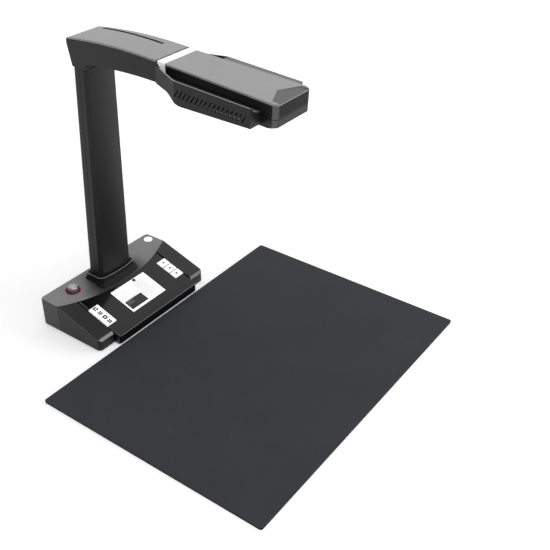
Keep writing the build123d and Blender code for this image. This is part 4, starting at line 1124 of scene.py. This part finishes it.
@dataclass
class Studio:
    """Plain white floor, soft light and the camera.

    The floor's lift is the light that only the camera and mirrors see on it, from near_lift at lift_start
    metres from the middle to far_lift at lift_stop. The sky lights matt surfaces by the share sky, and is
    dimmer on the left: left_share of its strength where X is left_start, all of it from left_stop.
    """

    floor_half: float = 12.0
    floor_grey: float = 0.86
    near_lift: float = 0.37
    far_lift: float = 0.60
    lift_start: float = 0.22
    lift_stop: float = 0.75
    sky: float = 0.72
    left_share: float = 0.10
    left_start: float = -0.95
    left_stop: float = 0.15
    softboxes: tuple[Softbox, ...] = (
        Softbox("overhead_softbox", (-0.35, -0.35, 1.70), size=1.3, power=8.0),
        Softbox("front_softbox", (0.80, -1.05, 0.55), size=0.6, power=3.2))
    focus: Point = (-0.0020, -0.2570, 0.1487)
    distance: float = 0.9965
    azimuth: float = -54.9
    elevation: float = 34.1
    roll: float = 0.9
    focal_length: float = 55.84
    sensor: float = 36.0

    def build(self) -> None:
        """Make the floor, the world, the lamps and the camera."""
        self._make_floor()
        self._make_world()
        for softbox in self.softboxes:
            self._make_lamp(softbox)
        self._make_camera()

    def _make_floor(self) -> None:
        """Make the flat floor."""
        half = self.floor_half
        mesh = bpy.data.meshes.new("floor")
        mesh.from_pydata([(-half, -half, 0), (half, -half, 0), (half, half, 0), (-half, half, 0)], [],
                         [(0, 1, 2, 3)])
        mesh.materials.append(self._floor_paint())
        floor = bpy.data.objects.new("floor", mesh)
        bpy.context.scene.collection.objects.link(floor)

    def _floor_paint(self) -> bpy.types.Material:
        """Make the floor's paint, which the camera sees as white where nothing shades it.

        Returns:
            The paint's material.
        """
        paint = bpy.data.materials.new("floor_white")
        paint.use_nodes = True
        tree = paint.node_tree
        tree.nodes.clear()
        matt = tree.nodes.new("ShaderNodeBsdfDiffuse")
        matt.inputs["Color"].default_value = (self.floor_grey, self.floor_grey, self.floor_grey, 1.0)
        away = tree.nodes.new("ShaderNodeVectorMath")
        away.operation = "LENGTH"
        tree.links.new(tree.nodes.new("ShaderNodeTexCoord").outputs["Object"], away.inputs[0])
        rise = add_range(tree, away.outputs["Value"], self.lift_start, self.lift_stop, self.near_lift,
                         self.far_lift)
        lift = tree.nodes.new("ShaderNodeEmission")
        tree.links.new(rise, lift.inputs["Strength"])
        both = tree.nodes.new("ShaderNodeAddShader")
        tree.links.new(matt.outputs[0], both.inputs[0])
        tree.links.new(lift.outputs[0], both.inputs[1])
        surface = add_shader_mix(tree, self._seen(tree), matt.outputs[0], both.outputs[0])
        tree.links.new(surface, tree.nodes.new("ShaderNodeOutputMaterial").inputs["Surface"])
        return paint

    def _seen(self, tree: Tree) -> Socket:
        """Tell the rays that see a surface from those that light by it.

        Args:
            tree: The node tree that asks.

        Returns:
            A socket that is 1 for rays from the camera and for mirrored or refracted ones.
        """
        path = tree.nodes.new("ShaderNodeLightPath").outputs
        direct = add_math(tree, "MAXIMUM", path["Is Camera Ray"], path["Is Glossy Ray"])
        return add_math(tree, "MAXIMUM", direct, path["Is Transmission Ray"])

    def _make_world(self) -> None:
        """Make the white surroundings, dimmer as a light than as a background."""
        world = bpy.data.worlds.new("studio")
        bpy.context.scene.world = world
        world.use_nodes = True
        tree = world.node_tree
        tree.nodes.clear()
        towards = add_split(tree, tree.nodes.new("ShaderNodeTexCoord").outputs["Generated"])
        dim = add_range(tree, towards.outputs["X"], self.left_start, self.left_stop, self.left_share)
        matt = self._background(tree, add_math(tree, "MULTIPLY", dim, self.sky))
        mirrored = self._background(tree, dim)
        light = add_shader_mix(tree, self._seen(tree), matt, mirrored)
        camera_ray = tree.nodes.new("ShaderNodeLightPath").outputs["Is Camera Ray"]
        surface = add_shader_mix(tree, camera_ray, light, self._background(tree))
        tree.links.new(surface, tree.nodes.new("ShaderNodeOutputWorld").inputs["Surface"])

    def _background(self, tree: Tree, strength: Socket | None = None) -> Socket:
        """Add a white background.

        Args:
            tree: The world's node tree.
            strength: Its strength, which is 1 when none is given.

        Returns:
            The background's shader.
        """
        background = tree.nodes.new("ShaderNodeBackground")
        background.inputs["Color"].default_value = (1.0, 1.0, 1.0, 1.0)
        if strength is not None:
            tree.links.new(strength, background.inputs["Strength"])
        return background.outputs[0]

    def _make_lamp(self, softbox: Softbox) -> None:
        """Make a square lamp that faces the middle of the object.

        Args:
            softbox: The lamp's name, place, size and power.
        """
        lamp = bpy.data.lights.new(softbox.name, "AREA")
        lamp.shape = "SQUARE"
        lamp.size = softbox.size
        lamp.energy = softbox.power
        holder = bpy.data.objects.new(softbox.name, lamp)
        holder.location = softbox.place
        aim = Vector(self.focus) - Vector(softbox.place)
        holder.rotation_euler = aim.to_track_quat("-Z", "Y").to_euler()
        bpy.context.scene.collection.objects.link(holder)

    def _make_camera(self) -> None:
        """Make the camera from its direction, distance and roll about the point that it looks at."""
        a, e, r = (math.radians(x) for x in (self.azimuth, self.elevation, self.roll))
        back = Vector((math.sin(a) * math.cos(e), -math.cos(a) * math.cos(e), math.sin(e)))
        level = Vector((math.cos(a), math.sin(a), 0))
        upright = back.cross(level)
        right = level * math.cos(r) + upright * math.sin(r)
        up = upright * math.cos(r) - level * math.sin(r)
        lens = bpy.data.cameras.new("camera")
        lens.sensor_width = self.sensor
        lens.lens = self.focal_length
        camera = bpy.data.objects.new("camera", lens)
        turned = Matrix((right, up, back)).transposed().to_4x4()
        camera.matrix_world = Matrix.Translation(Vector(self.focus) + back * self.distance) @ turned
        bpy.context.scene.collection.objects.link(camera)
        bpy.context.scene.camera = camera


def write_sizes() -> None:
    """Bring the placements in the scene up to date."""
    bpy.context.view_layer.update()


def main() -> None:
    """Build the studio and every sub-assembly in order."""
    logging.basicConfig(level=logging.INFO, format="%(name)s: %(message)s")
    bpy.context.scene.view_settings.view_transform = "Standard"
    for part in (Studio(), BaseUnit(), Column(), Arm(), Head(), WorkMat()):
        log.info("building %s", type(part).__name__)
        part.build()
    write_sizes()


if __name__ == "__main__":
    main()
